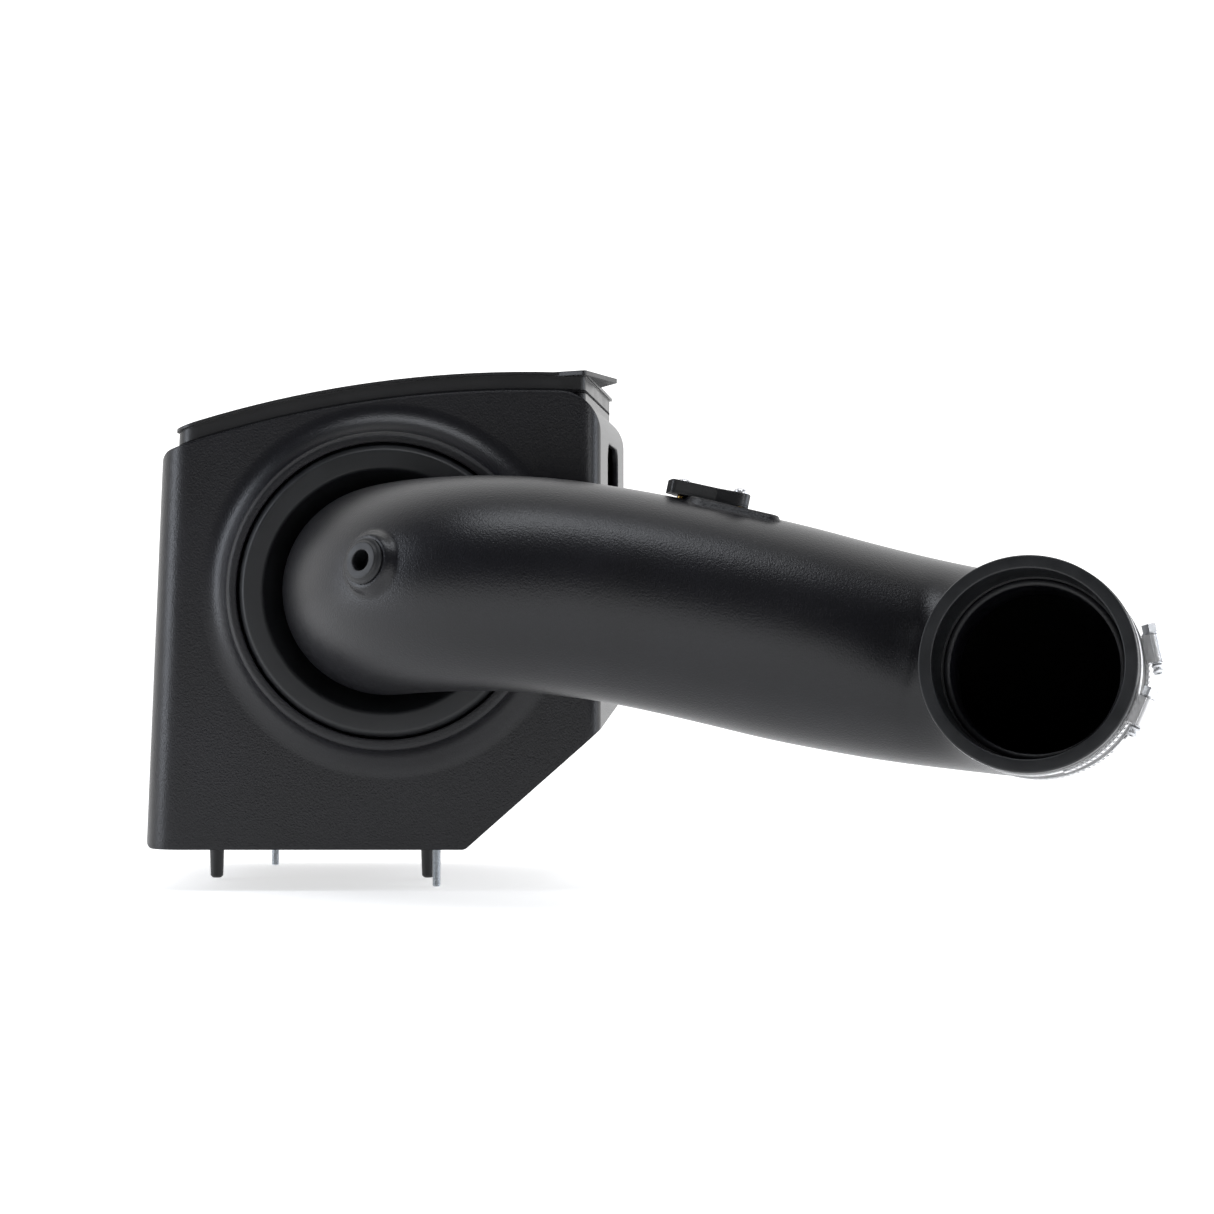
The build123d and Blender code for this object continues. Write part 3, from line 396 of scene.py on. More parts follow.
def enclosed_volume(mesh):
    """Signed volume inside a mesh: the sum of its triangles' triple products over six."""
    mesh.calc_loop_triangles()
    corners = np.empty(len(mesh.loop_triangles) * 3, np.int32)
    mesh.loop_triangles.foreach_get("vertices", corners)
    points = np.empty(len(mesh.vertices) * 3, np.float32)
    mesh.vertices.foreach_get("co", points)
    a, b, c = points.reshape(-1, 3)[corners.reshape(-1, 3)].astype(float).transpose(1, 0, 2)
    return float((np.cross(a, b) * c).sum() / 6)


def smoothstep(value, low, high):
    """0 below low, 1 above high, and 3t^2 - 2t^3 between."""
    t = np.clip((value - low) / (high - low), 0, 1)
    return t * t * (3 - 2 * t)


def rounded_outline(corners, arc_points=7):
    """A closed outline with round corners. Each corner is (radius, height, rounding): it becomes
    a quadratic curve that starts and ends the rounding's distance along its two sides."""
    corners = np.asarray(corners, float)
    reach = 0.49               # most of a side that one rounding takes
    spots, rounding = corners[:, :2], corners[:, 2:]
    back, ahead = np.roll(spots, 1, 0) - spots, np.roll(spots, -1, 0) - spots
    back_length = np.linalg.norm(back, axis=1, keepdims=True)
    ahead_length = np.linalg.norm(ahead, axis=1, keepdims=True)
    start = spots + back / back_length * np.minimum(rounding, back_length * reach)
    end = spots + ahead / ahead_length * np.minimum(rounding, ahead_length * reach)
    t = np.linspace(0, 1, arc_points)[None, :, None]
    curve = (1 - t) ** 2 * start[:, None] + 2 * t * (1 - t) * spots[:, None] + t**2 * end[:, None]
    return curve.reshape(-1, 2)


def across(axis):
    """Two directions square to an axis and to each other."""
    axis = unit(axis)
    upright = abs(axis[2]) >= 0.9
    side = unit(np.cross(axis, (1, 0, 0) if upright else (0, 0, 1)))
    return side, np.cross(axis, side)


def turned_piece(name, origin, axis, corners, segments):
    """A turned piece: a closed outline of (radius, height, rounding) in millimetres, carried
    round the axis: origin + axis * height + radius * (side cos t + up sin t)."""
    outline = rounded_outline(corners) * MM
    side, up = across(axis)
    t = np.linspace(0, TAU, segments, endpoint=False)
    around = side * np.cos(t)[:, None] + up * np.sin(t)[:, None]
    points = (
        np.asarray(origin)
        + outline[:, 1, None, None] * unit(axis)
        + outline[:, 0, None, None] * around[None]
    )
    return add_grid(name, points, True, True)


def finish_piece(piece, body, slot, *replaced):
    """Dresses a piece in its slot's finish, and makes it ride on its body in place of CAD nodes."""
    piece.data.materials.clear()
    piece.data.materials.append(FINISHES[slot])
    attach(piece, body)
    if replaced:
        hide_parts(*replaced)
    return piece


# ------------------------------------------------------------------ intake tube
# The centreline's shape in plan, as in the frame: a left-hand arc of 100 mm outside the port, a
# straight run, and a right-hand arc of 77 mm before the outlet.
FRONT_BEND_R = 100 * MM
OUTLET_BEND_R = 77 * MM
FRONT_WALL_Y = -112 * MM
NECK_FRONT = 2 * MM            # the straight neck starts this far before the wall
NECK_INSIDE = 44 * MM          # and ends this far behind it
NECK_R = 69 * MM
OUTLET_NECK_R = 53.4 * MM
OUTLET_SHOULDER_R = 60 * MM
COUPLER_LENGTH = 80 * MM
COUPLER_WALL = 7.8 * MM
SHOULDER_GAP = 0.5 * MM
TUBE_END_BACK = 40 * MM        # from the coupler's mouth to the tube's end
# Heights and slopes of the centreline at the ends of its arcs
RUN_RISE = 2.4 * MM
RUN_END_Z = 131.5 * MM
RUN_SLOPES = (0.0, -0.10, -0.20)
# Outer radii in millimetres at parts of its length
SIZE_PLACES = (0.0, 0.25, 0.40, 0.60, 0.74, 0.87, 1.0)
SIZE_RADII = (69.0, 67.6, 67.4, 68.6, 66.2, 62.6, 60.0)
SIZE_SMOOTHING = 0.03          # of its length, either way
SIZE_SAMPLES = 9
# Sensor pad and gauge boss
PAD_LENGTH, PAD_WIDTH = 58 * MM, 42 * MM
PAD_CORNER = 7 * MM
BOSS_R = 16.5 * MM
BOSS_RISE = 4 * MM
HOLE_FOOT_R, HOLE_RIM_R = 11.2 * MM, 12.4 * MM
HOLE_DEPTH = 7.2 * MM
NEAR_SIDE = -30 * MM           # points lower than this are on the tube's far side
# The skin's rows and columns, finer round the pad and the boss
ROW_STEP, FINE_ROW_STEP = 4 * MM, 1 * MM
TURN_STEP, FINE_TURN_STEP = 0.045, 0.016
LAST_TURN = TAU - 0.03
PAD_ROWS, PAD_TURN = 34 * MM, 0.42
BOSS_ROWS_BACK, BOSS_ROWS_AHEAD, BOSS_TURN = 30 * MM, 24 * MM, 0.40
SHORTEST_STEP = 0.15           # of the finest step, between places that two zones put side by side
INNER_ROWS = 70
SEARCH_ROWS = 600              # for the nearest place on the centreline
LIP = 0.6 * MM                 # chamfers on the tube's two ends
PAD_EDGE = 0.2 * MM            # the pad is flat up to this far inside its outline
NECK_GAP = 0.2 * MM            # between the inlet neck's last row and the skin's first
STEP_GAP = 0.3 * MM            # from the skin's last row to the outlet's shoulder


class Centreline:
    """The tube's centreline: places, directions and outer radii at distances along it."""

    def __init__(self):
        turn = math.atan2(-OUTLET_DIR[0], -OUTLET_DIR[1])
        self.end = MOUTH - OUTLET_DIR * (COUPLER_LENGTH + SHOULDER_GAP)
        self.left = np.array([PORT[0] + FRONT_BEND_R, FRONT_WALL_Y - NECK_FRONT])
        self.right = self.end[:2] + np.array([-math.cos(turn), math.sin(turn)]) * OUTLET_BEND_R
        gap = self.right - self.left
        reach = FRONT_BEND_R + OUTLET_BEND_R
        self.run = math.sqrt(gap @ gap - reach**2)
        self.heading = math.atan2(gap[1], gap[0]) + math.atan2(reach, self.run)
        self.first = FRONT_BEND_R * (math.pi / 2 + self.heading)
        self.last = OUTLET_BEND_R * (self.heading + math.pi / 2 + turn)
        self.length = self.first + self.run + self.last
        self.keys = np.array([0, self.first, self.first + self.run, self.length])
        self.heights = np.array([PORT[2], PORT[2] + RUN_RISE, RUN_END_Z, self.end[2]])
        rise = OUTLET_DIR[2] / math.hypot(OUTLET_DIR[0], OUTLET_DIR[1])
        self.slopes = np.array([*RUN_SLOPES, rise])

    def height(self, along):
        """Cubic Hermite curve through the key heights with the key slopes, and its slope."""
        part = np.clip(np.searchsorted(self.keys, along, side="right") - 1, 0, 2)
        span = self.keys[part + 1] - self.keys[part]
        t = (along - self.keys[part]) / span
        z0, z1 = self.heights[part], self.heights[part + 1]
        m0, m1 = self.slopes[part] * span, self.slopes[part + 1] * span
        c2, c3 = 3 * (z1 - z0) - 2 * m0 - m1, 2 * (z0 - z1) + m0 + m1
        return z0 + m0 * t + c2 * t**2 + c3 * t**3, (m0 + 2 * c2 * t + 3 * c3 * t**2) / span

    def at(self, along):
        """Centre, direction, side and up vectors for an array of distances: arc, line and arc."""
        along = np.asarray(along, float)
        on_last = along - self.first - self.run
        heading = np.where(
            along <= self.first,
            along / FRONT_BEND_R - math.pi / 2,
            np.where(on_last <= 0, self.heading, self.heading - on_last / OUTLET_BEND_R),
        )
        right_hand = np.stack([np.sin(heading), -np.cos(heading)], -1)
        straight = np.clip(along - self.first, 0, self.run)[..., None]
        ahead = np.stack([np.cos(heading), np.sin(heading)], -1)
        plan = np.where(
            (on_last <= 0)[..., None],
            self.left + right_hand * FRONT_BEND_R + ahead * straight,
            self.right - right_hand * OUTLET_BEND_R,
        )
        height, slope = self.height(along)
        centre = np.concatenate([plan, height[..., None]], -1)
        direction = unit(np.concatenate([ahead, slope[..., None]], -1))
        side = np.concatenate([-right_hand, np.zeros_like(height)[..., None]], -1)
        return centre, direction, side, np.cross(direction, side)

    def radius(self, along):
        """Outer radius: a straight line between the sizes given along the tube, then smoothed."""
        part = np.asarray(along) / self.length
        spots = part[..., None] + np.linspace(-SIZE_SMOOTHING, SIZE_SMOOTHING, SIZE_SAMPLES)
        return np.interp(spots, SIZE_PLACES, np.array(SIZE_RADII) * MM).mean(-1)


    def nearest(self, place, axes):
        """The distance along the tube that is nearest to a place, over its first axes."""
        along = np.linspace(0, self.length, SEARCH_ROWS)
        centres = self.at(along)[0]
        gaps = centres[:, :axes] - np.asarray(place)[:axes]
        return along[np.argmin(np.linalg.norm(gaps, axis=1))]


def uneven_steps(start, end, coarse, fine_zones):
    """Places from start to end, coarse apart, with finer steps inside each (low, high, step)."""
    spots = list(np.arange(start, end, coarse)) + [end]
    for low, high, step in fine_zones:
        spots = [s for s in spots if s < low or s > high] + list(np.arange(low, high, step))
    spots = np.array(sorted(spots))
    finest = min([coarse] + [step for _, _, step in fine_zones])
    keep = np.concatenate([[True], np.diff(spots) > SHORTEST_STEP * finest])
    return spots[keep]


def spokes(side, up, t):
    """Unit spokes round a centreline: side cos t + up sin t."""
    return side[..., None, :] * np.cos(t)[:, None] + up[..., None, :] * np.sin(t)[:, None]


def raise_pad(skin, centre, up, along, blend):
    """The skin lifted to the sensor pad's flat top, a rounded rectangle square to up. The lift
    fades by a smoothstep of the distance outside the rectangle."""
    gasket = np.array([v.co for v in NODES["sensor_gasket"].data.vertices])
    local = skin - (centre + up * ((gasket @ up).min() - centre @ up))
    x, y, height = local @ along, local @ np.cross(up, along), local @ up
    out_x = abs(x) - PAD_LENGTH / 2 + PAD_CORNER
    out_y = abs(y) - PAD_WIDTH / 2 + PAD_CORNER
    edge = np.hypot(np.maximum(out_x, 0), np.maximum(out_y, 0)) - PAD_CORNER
    lift = (1 - smoothstep(edge, -PAD_EDGE, blend)) * (height > NEAR_SIDE)
    return skin + up * (lift * -height)[..., None]


def raise_boss(skin, blend):
    """The skin lifted to the gauge boss's flat top and sunk into the grommet's hole, both by a
    smoothstep of the distance from the gauge's axis."""
    local = skin - GAUGE
    height = local @ GAUGE_DIR
    rho = np.linalg.norm(local - height[..., None] * GAUGE_DIR, axis=-1)
    near = height > NEAR_SIDE
    lift = (1 - smoothstep(rho, BOSS_R, BOSS_R + blend)) * near
    skin = skin + GAUGE_DIR * (lift * (BOSS_RISE - height))[..., None]
    sink = (1 - smoothstep(rho, HOLE_FOOT_R, HOLE_RIM_R)) * near
    return skin - GAUGE_DIR * (sink * HOLE_DEPTH)[..., None]


def neck_rows(line, t, distance, base, way, spots):
    """Rings on a straight neck, one for each (along, radius): base + way * along + radius *
    (side cos t + up sin t), with side and up as they are at a distance along the centreline."""
    _, _, side, up = line.at(np.array([distance]))
    around = spokes(side[0], up[0], t)
    return np.array([base + way * along + radius * around for along, radius in spots])


def tube_points(line, sizes):
    """The tube as one closed skin. Outside: centre + radius * (side cos t + up sin t), with the
    sensor pad and the gauge boss raised. Inside: the same with the wall taken off, back to the
    start. Rings on the two straight necks join them."""
    pad_along = line.nearest(middle("sensor_gasket"), 2)
    gauge_along = line.nearest(GAUGE, 3)
    s = uneven_steps(
        0, line.length, ROW_STEP,
        [(gauge_along - BOSS_ROWS_BACK, gauge_along + BOSS_ROWS_AHEAD, FINE_ROW_STEP),
         (pad_along - PAD_ROWS, pad_along + PAD_ROWS, FINE_ROW_STEP)],
    )
    centre, direction, side, up = line.at(s)
    at_gauge = np.argmin(abs(s - gauge_along))
    gauge_turn = math.atan2(up[at_gauge] @ GAUGE_DIR, side[at_gauge] @ GAUGE_DIR) % TAU
    top = math.pi / 2
    t = uneven_steps(
        0, LAST_TURN, TURN_STEP,
        [(top - PAD_TURN, top + PAD_TURN, FINE_TURN_STEP),
         (gauge_turn - BOSS_TURN, gauge_turn + BOSS_TURN, FINE_TURN_STEP)],
    )
    outer = centre[:, None] + line.radius(s)[:, None, None] * spokes(side, up, t)
    at_pad = np.argmin(abs(s - pad_along))
    outer = raise_pad(outer, centre[at_pad], up[at_pad], direction[at_pad], sizes.pad_blend)
    outer = raise_boss(outer, sizes.boss_blend)
    # Inside: coarse rows, narrowing smoothly into the outlet neck from the last size but one
    wall = sizes.tube_wall
    back = np.linspace(line.length, 0, INNER_ROWS)
    centre, _, side, up = line.at(back)
    bore = line.radius(back) - wall
    narrowing = smoothstep(back, line.length * SIZE_PLACES[-2], line.length)
    bore = bore + (OUTLET_NECK_R - wall - bore) * narrowing
    inner = centre[:, None] + bore[:, None, None] * spokes(side, up, t)
    # Necks: chamfered at their ends
    foot = line.at(np.zeros(1))[0][0]
    inlet_neck = (line, t, 0.0, foot, np.array([0.0, -1.0, 0.0]))
    outlet_neck = (line, t, line.length, line.end, OUTLET_DIR)
    start, end = -NECK_INSIDE - NECK_FRONT, COUPLER_LENGTH + SHOULDER_GAP - TUBE_END_BACK
    return np.concatenate([
        neck_rows(*inlet_neck, (
            (start, NECK_R - wall + LIP), (start, NECK_R - LIP), (start + LIP, NECK_R),
            (-NECK_GAP, NECK_R),
        )),
        outer,
        neck_rows(*outlet_neck, (
            (STEP_GAP, OUTLET_SHOULDER_R - LIP), (STEP_GAP, OUTLET_NECK_R + STEP_GAP),
            (LIP, OUTLET_NECK_R), (end - LIP, OUTLET_NECK_R), (end, OUTLET_NECK_R - LIP),
            (end, OUTLET_NECK_R - wall + LIP), (end - LIP, OUTLET_NECK_R - wall),
        )),
        inner,
        neck_rows(*inlet_neck, ((start + LIP, NECK_R - wall),)),
    ])


class INTAKE_OT_tube(bpy.types.Operator):
    """Make the intake tube, with its swept sensor pad and gauge boss"""

    bl_idname = "intake.tube"
    bl_label = "Intake tube"

    def execute(self, context):
        points = tube_points(Centreline(), context.scene.intake_sizes)
        tube = add_grid("tube_skin", points, True, True)
        finish_piece(tube, "root", "textured_plastic", "intake_tube")
        return {"FINISHED"}


# ------------------------------------------------------------------ rubber pieces
# Outlines in millimetres: radius, height and rounding at each corner
SEAL_OUTLINE = (
    (80, -26.5, 2.0), (93, -26.5, 1.4),            # front face
    (96.4, -22, 1.0), (96.4, -17, 0.5),            # groove before the port's boss
    (98, -15, 0.5), (98, 4, 0.3),                  # through the port
    (103, 4, 1.0), (103, 9, 1.5),                  # flange behind the wall
    (84, 9, 1.5), (84, 6, 1.0),
    (69, 6, 1.5), (69, -2, 1.5),                   # lip on the tube's neck
)
GROMMET_OUTLINE = (
    (6.5, 8, 0.7), (11.6, 8, 1.0),                 # top, round the hole
    (12.4, 6.6, 0.8), (14.6, 5.8, 1.2), (14.6, 4, 0.8),
    (11, 4, 0.4), (11, -5.2, 0.5),                 # through the boss
    (12.2, -6, 0.5), (11, -7, 0.5), (6.5, -7, 0.8),
)


def coupler_outline():
    """The outlet coupler, back from its mouth: wide at the mouth, and narrower on the tube."""
    bore, neck = OUTLET_BORE / MM, OUTLET_NECK_R / MM
    outside = bore + COUPLER_WALL / MM
    foot, step = -COUPLER_LENGTH / MM, -TUBE_END_BACK / MM
    return (
        (bore, 0, 1.3), (outside, 0, 1.3), (outside, foot, 1.2), (neck, foot, 1.2),
        (neck, step, 0.2), (bore, step, 0.2),
    )


class INTAKE_OT_rubber(bpy.types.Operator):
    """Make the turned rubber pieces: port seal, gauge grommet and outlet coupler"""

    bl_idname = "intake.rubber"
    bl_label = "Rubber pieces"

    def execute(self, context):
        port = np.array([PORT[0], FRONT_WALL_Y, PORT[2]])
        seal = turned_piece("port_seal_ring", port, (0, 1, 0), SEAL_OUTLINE, 256)
        finish_piece(seal, "root", "seal_rubber", "port_seal")
        grommet = turned_piece("gauge_grommet_ring", GAUGE, GAUGE_DIR, GROMMET_OUTLINE, 96)
        finish_piece(grommet, "root", "seal_rubber", "gauge_grommet")
        coupler = turned_piece("outlet_coupler_sleeve", MOUTH, OUTLET_DIR, coupler_outline(), 192)
        finish_piece(coupler, "root", "coupler_rubber", "outlet_coupler")
        return {"FINISHED"}


# ------------------------------------------------------------------ studs
# In millimetres, upwards from the base
HEAD_R = 7
HEAD_FOOT, HEAD_TOP = 5.6, 9.6
SHANK_R = 3.4
SHANK_TOP = 5.8
AXIS_R = 0.02                  # stands for nought, so that no face is without area
THREAD_CHAMFER = 0.9 * MM
THREAD_DEPTH = 0.61            # of the pitch
RINGS_PER_TURN, ROD_CORNERS = 8, 40


def threaded_rod(name, foot, axis, radius, length, pitch):
    """A threaded rod: radius less a rounded groove, depth * (0.5 - 0.5 cos(2 pi z / pitch - t)),
    which fades out in the 45 degree chamfer at the free end."""
    side, up = across(axis)
    turns = max(int(length / pitch), 1)
    z = np.linspace(0, length, turns * RINGS_PER_TURN + 1)[:, None]
    t = np.linspace(0, TAU, ROD_CORNERS, endpoint=False)[None]
    wave = 0.5 - 0.5 * np.cos(TAU * z / pitch - t)
    r = np.minimum(radius - THREAD_DEPTH * pitch * wave, radius - THREAD_CHAMFER + (length - z))
    points = np.asarray(foot) + z[..., None] * unit(axis) + r[..., None] * (
        side * np.cos(t)[..., None] + up * np.sin(t)[..., None]
    )
    return add_grid(name, points, False, True, cap=True)


class INTAKE_OT_studs(bpy.types.Operator):
    """Make the studs: a rolled thread under the base, and the shank and head inside the box"""

    bl_idname = "intake.studs"
    bl_label = "Stud threads"

    def execute(self, context):
        pitch = context.scene.intake_sizes.stud_pitch
        low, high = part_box("mounting_studs")
        reach = HEAD_R * MM
        flat = reach * math.cos(math.pi / 6)
        for name, x, y in (
            ("front_stud", high[0] - reach, low[1] + flat),
            ("back_stud", low[0] + reach, high[1] - flat),
        ):
            foot, up, down = (x, y, 0), (0, 0, 1), (0, 0, -1)
            rod = threaded_rod(name + "_thread", foot, down, STUD_R, -low[2], pitch)
            shank = turned_piece(
                name + "_shank", foot, up,
                [(AXIS_R, 0, 0), (SHANK_R, 0, 0), (SHANK_R, SHANK_TOP, 0), (AXIS_R, SHANK_TOP, 0)],
                48,
            )
            head = turned_piece(
                name + "_head", foot, up,
                [(AXIS_R, HEAD_FOOT, 0), (HEAD_R, HEAD_FOOT, 0.2), (HEAD_R, HEAD_TOP, 0.5),
                 (AXIS_R, HEAD_TOP, 0)],
                6,
            )
            for face in head.data.polygons:
                face.use_smooth = False
            for piece in (rod, shank, head):
                finish_piece(piece, "root", "zinc_steel", "mounting_studs")
        return {"FINISHED"}


# ------------------------------------------------------------------ filter
# Radii in millimetres at the flange. Each narrows by the taper at the cap.
PLEATS_R = 80.4
SCREENS = (
    ("outer_wire_screen", 81.0, "filter_outer_screen"),
    ("inner_wire_screen", 63.9, "filter_inner_screen"),
)
TAPER = 16
PLEAT_DEPTH = 16 * MM
SHEET = 0.9 * MM
RIPPLE = 0.25 * MM
RIPPLES, RIPPLE_DRIFT = 9, 3   # along a fold, and how far they drift from fold to fold
TIP_ROUNDING = 0.97            # under one, it rounds the triangle wave's tips
POINTS_PER_PLEAT, PLEAT_ROWS = 14, 15
WIRE_R = 0.32 * MM
WIRE_TWIST = 1.55              # radians that a wire turns from flange to cap
WIRE_SLANT = 1.4               # spacing round the cone, over the spacing square to the wires
WIRE_STATIONS = 49


class INTAKE_OT_filter(bpy.types.Operator):
    """Make the filter's pleated cotton and its woven wire screens"""

    bl_idname = "intake.filter"
    bl_label = "Filter"

    def execute(self, context):
        sizes = context.scene.intake_sizes
        low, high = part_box("filter_media")
        points = pleat_points(sizes.pleats, low[1], high[1])
        pleats = add_grid("filter_pleats", points, True, True)
        finish_piece(pleats, "filter", "filter_cotton", "filter_media")
        for name, radius, cad in SCREENS:
            screen = wire_screen(name, radius, low[1], high[1], sizes.wire_spacing)
            finish_piece(screen, "filter", "filter_mesh", cad)
        return {"FINISHED"}


def pleat_points(pleats, start_y, end_y):
    """The pleated sheet, folded round a cone: radius = outside - depth * fold, where fold is a
    triangle wave with rounded tips, and a slight ripple runs along each side of a fold."""
    t = np.linspace(0, TAU, pleats * POINTS_PER_PLEAT, endpoint=False)
    fold = np.arccos(TIP_ROUNDING * np.cos(pleats * t)) / math.pi
    share = np.linspace(0, 1, PLEAT_ROWS)[:, None]
    outside = (PLEATS_R - TAPER * share) * MM
    phase = RIPPLES * TAU * share + RIPPLE_DRIFT * np.sin(pleats * t / 2)
    ripple = RIPPLE * np.sin(phase) * fold * (1 - fold)
    y = (start_y + (end_y - start_y) * share) * np.ones_like(t)

    def skin(inset):
        r = outside - SHEET / 2 - (PLEAT_DEPTH - SHEET) * fold + ripple - inset
        return np.stack([PORT[0] + r * np.cos(t), y, PORT[2] + r * np.sin(t)], -1)

    return np.concatenate([skin(0), skin(SHEET)[::-1]])


def wire_screen(name, radius, start_y, end_y, spacing):
    """A woven wire cone: two families of helices, left and right-handed, each wire a four-sided
    tube that rises and dips by a wire's radius over each crossing."""
    base_r, tip_r = radius * MM, (radius - TAPER) * MM
    count = int(TAU * base_r / spacing / WIRE_SLANT)
    share = np.linspace(0, 1, WIRE_STATIONS)
    wires = []
    for hand in (1, -1):
        start = np.arange(count)[:, None] * TAU / count
        angle = start + hand * share * WIRE_TWIST
        weave = hand * np.cos(angle * count / 2) * WIRE_R
        r = base_r + (tip_r - base_r) * share + weave
        y = start_y + (end_y - start_y) * share + np.zeros_like(angle)
        line = np.stack([PORT[0] + r * np.cos(angle), y, PORT[2] + r * np.sin(angle)], -1)
        way = unit(np.gradient(line, axis=1))
        out = np.stack([np.cos(angle), np.zeros_like(angle), np.sin(angle)], -1)
        turns = np.arange(4) * TAU / 4
        wires.append(line[:, :, None] + WIRE_R * spokes(out, np.cross(way, out), turns))
    return tubes(name, np.concatenate(wires))


def tubes(name, rings):
    """Many closed tubes in one mesh from an array (tube, station, corner, 3), with flat ends."""
    many, stations, corners = rings.shape[:3]
    base = (np.arange(many) * stations * corners)[:, None, None]
    u = np.arange(stations - 1)[None, :, None] * corners
    v = np.arange(corners)[None, None, :]
    after = (v + 1) % corners
    quads = np.stack(
        [base + u + v, base + u + after, base + u + corners + after, base + u + corners + v], -1
    ).reshape(-1, 4)
    first = base[:, 0] + np.arange(corners)[::-1]
    last = base[:, 0] + (stations - 1) * corners + np.arange(corners)
    return mesh_object(name, rings.reshape(-1, 3), [quads, first, last])


# ------------------------------------------------------------------ CAD pieces
class INTAKE_OT_finishes(bpy.types.Operator):
    """Give every carried-over piece the finish of its slot"""

    bl_idname = "intake.finishes"
    bl_label = "Finishes"

    def execute(self, context):
        FINISHES.update(make_finishes(context.scene.intake_colours))
        for part in frame["record"]["subparts"]:
            cad = NODES[part["node"]]
            for place in cad.material_slots:
                place.material = FINISHES[part["material_slot"]]
            if not cad.material_slots:
                cad.data.materials.append(FINISHES[part["material_slot"]])
        return {"FINISHED"}


# ------------------------------------------------------------------ stage
CAMERA_BACK = 1720 * MM        # from the front wall
CAMERA_X = 180.5 * MM
CAMERA_Z = 162 * MM
CAMERA_LENS = 76.5             # in millimetres, on a sensor of
SENSOR = 36.0
FLOOR_REACH = 40.0
FLOOR_GLOW = 0.65
WORLD_FRONT, WORLD_BACK = 0.06, 1.5
GLOW_START, GLOW_END = -0.2, 0.5      # the backdrop brightens between these parts of Y
LIGHT_AIM = (CAMERA_X, -0.1, 0.15)
# Name, place, width and height in metres, watts, colour
SOFT_LIGHTS = (
    ("left_softbox", (-1.3, -0.45, 0.35), (0.35, 1.4), 12, (0.86, 0.91, 1.0)),
    ("right_softbox", (1.7, -0.2, 0.2), (0.5, 1.4), 12, (0.84, 0.90, 1.0)),
    ("top_softbox", (0.2, -0.7, 1.5), (1.2, 0.4), 10, (0.92, 0.95, 1.0)),
    ("front_card", (1.7, -1.7, 0.3), (0.25, 0.9), 7, (0.95, 0.97, 1.0)),
)


def soft_light(name, place, size, power, colour):
    """A rectangular area light aimed at the intake."""
    light = bpy.data.lights.new(name, "AREA")
    light.shape = "RECTANGLE"
    light.size, light.size_y = size
    light.energy = power
    light.color = colour
    made = bpy.data.objects.new(name, light)
    made.location = place
    made.rotation_euler = (Vector(LIGHT_AIM) - Vector(place)).to_track_quat("-Z", "Y").to_euler()
    bpy.context.scene.collection.objects.link(made)


def studio_world():
    """White behind the picture. For the light it gives: bright behind the intake, where a lit
    backdrop would stand, falling off to dim on the camera's side."""
    world = bpy.data.worlds.new("studio")
    world.use_nodes = True
    tree = world.node_tree
    where = node(tree, "ShaderNodeTexCoord")
    direction = node(tree, "ShaderNodeSeparateXYZ", {"Vector": where.outputs["Generated"]})
    glow = node(
        tree, "ShaderNodeMapRange",
        {"Value": direction.outputs["Y"], "From Min": GLOW_START, "From Max": GLOW_END,
         "To Min": WORLD_FRONT, "To Max": WORLD_BACK},
        interpolation_type="SMOOTHSTEP",
    )
    path = node(tree, "ShaderNodeLightPath")
    seen = node(
        tree, "ShaderNodeMath",
        {0: glow.outputs["Result"], 1: path.outputs["Is Camera Ray"]}, operation="MAXIMUM",
    )
    back = tree.nodes["Background"]
    back.inputs["Color"].default_value = (1, 1, 1, 1)
    tree.links.new(seen.outputs["Value"], back.inputs["Strength"])
    return world


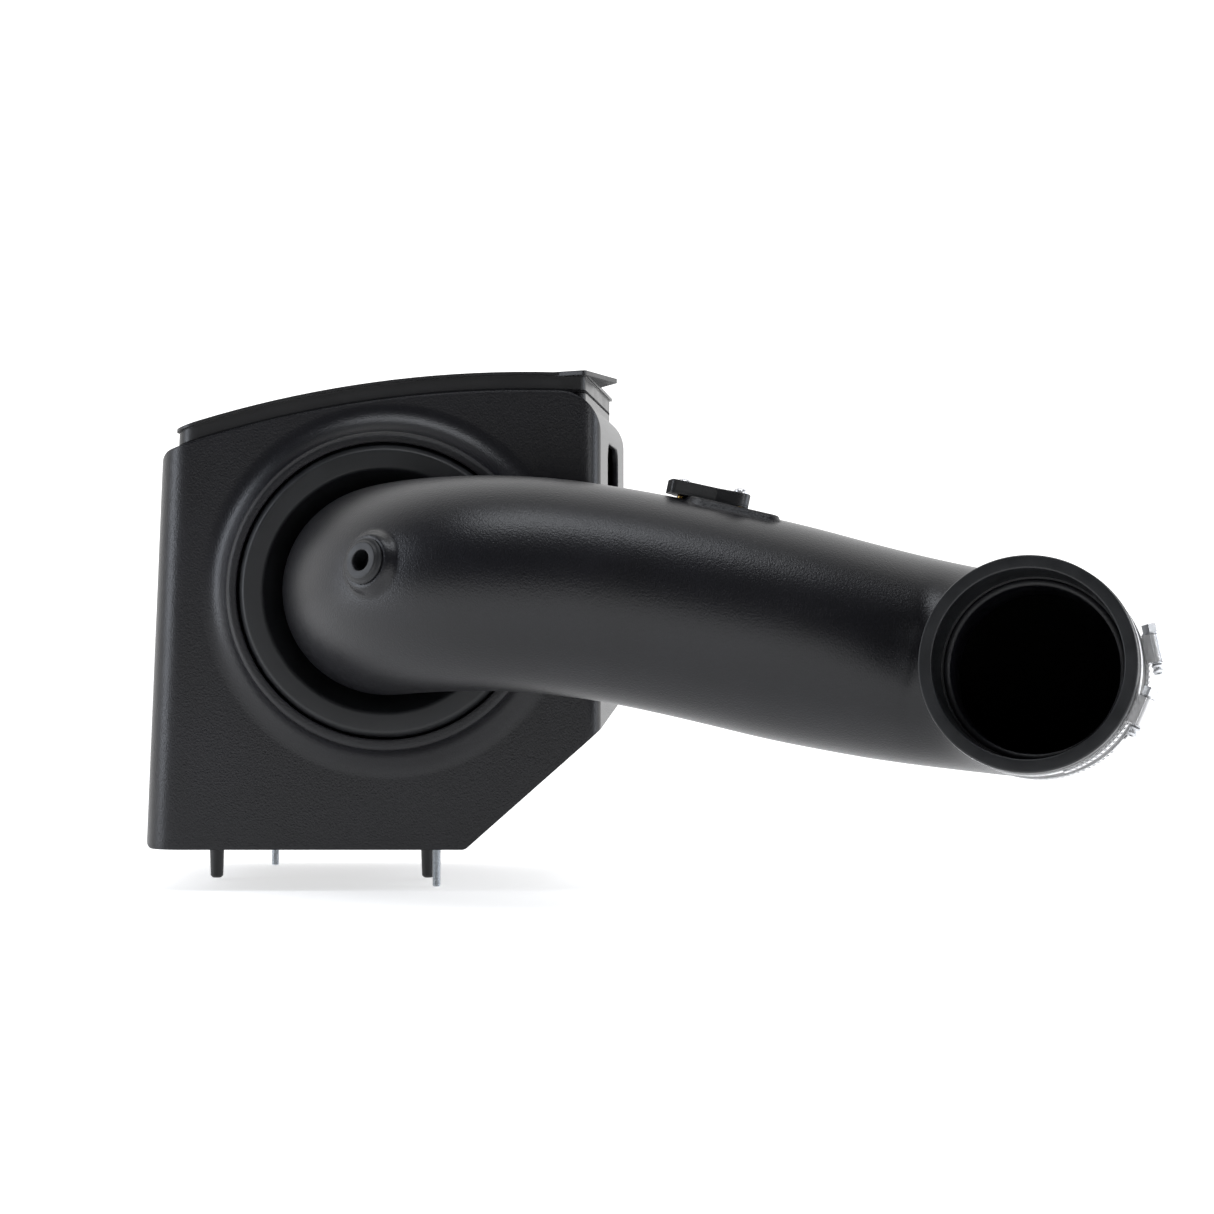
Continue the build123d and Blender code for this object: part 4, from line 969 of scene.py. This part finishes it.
class INTAKE_OT_stage(bpy.types.Operator):
    """Set the floor, the light and the camera"""

    bl_idname = "intake.stage"
    bl_label = "Stage"

    def execute(self, context):
        scene = context.scene
        scene.view_settings.view_transform = "Standard"
        ring = np.array([[-1, -1], [1, -1], [1, 1], [-1, 1]]) * FLOOR_REACH
        corners = np.column_stack([ring, np.full(4, CAD_BOX[0][2])])
        mesh = bpy.data.meshes.new("studio_floor")
        mesh.from_pydata(corners.tolist(), [], [(0, 1, 2, 3)])
        floor = bpy.data.objects.new("studio_floor", mesh)
        scene.collection.objects.link(floor)
        colour = scene.intake_colours.floor
        finish, _, shader = material("studio_floor", colour, 0.9, specular=0.1)
        shader.inputs["Emission Color"].default_value = (*colour, 1)
        shader.inputs["Emission Strength"].default_value = FLOOR_GLOW
        mesh.materials.append(finish)
        scene.world = studio_world()
        for light in SOFT_LIGHTS:
            soft_light(*light)
        camera = bpy.data.cameras.new("camera")
        camera.lens = CAMERA_LENS
        camera.sensor_width = SENSOR
        viewer = bpy.data.objects.new("camera", camera)
        viewer.location = (CAMERA_X, FRONT_WALL_Y - CAMERA_BACK, CAMERA_Z)
        viewer.rotation_euler = (math.pi / 2, 0, 0)
        scene.collection.objects.link(viewer)
        scene.camera = viewer
        return {"FINISHED"}


# ------------------------------------------------------------------ add-on
class INTAKE_PT_panel(bpy.types.Panel):
    """Lists the intake's makers, sizes and colours"""

    bl_idname = "INTAKE_PT_panel"
    bl_label = "Cold-air intake"
    bl_space_type = "VIEW_3D"
    bl_region_type = "UI"
    bl_category = "Intake"

    def draw(self, context):
        for group in (context.scene.intake_sizes, context.scene.intake_colours):
            for name in group.__annotations__:
                self.layout.prop(group, name)
        for maker in MAKERS:
            self.layout.operator(maker.bl_idname)


MAKERS = (
    INTAKE_OT_finishes,
    INTAKE_OT_tube,
    INTAKE_OT_rubber,
    INTAKE_OT_studs,
    INTAKE_OT_filter,
    INTAKE_OT_stage,
)
CLASSES = (IntakeSizes, IntakeColours, *MAKERS, INTAKE_PT_panel)


def register():
    for cls in CLASSES:
        bpy.utils.register_class(cls)
    bpy.types.Scene.intake_sizes = PointerProperty(type=IntakeSizes)
    bpy.types.Scene.intake_colours = PointerProperty(type=IntakeColours)


def unregister():
    del bpy.types.Scene.intake_colours
    del bpy.types.Scene.intake_sizes
    for cls in reversed(CLASSES):
        bpy.utils.unregister_class(cls)


def main():
    register()
    for maker in MAKERS:
        family, name = maker.bl_idname.split(".")
        getattr(getattr(bpy.ops, family), name)()


if __name__ == "__main__":
    main()
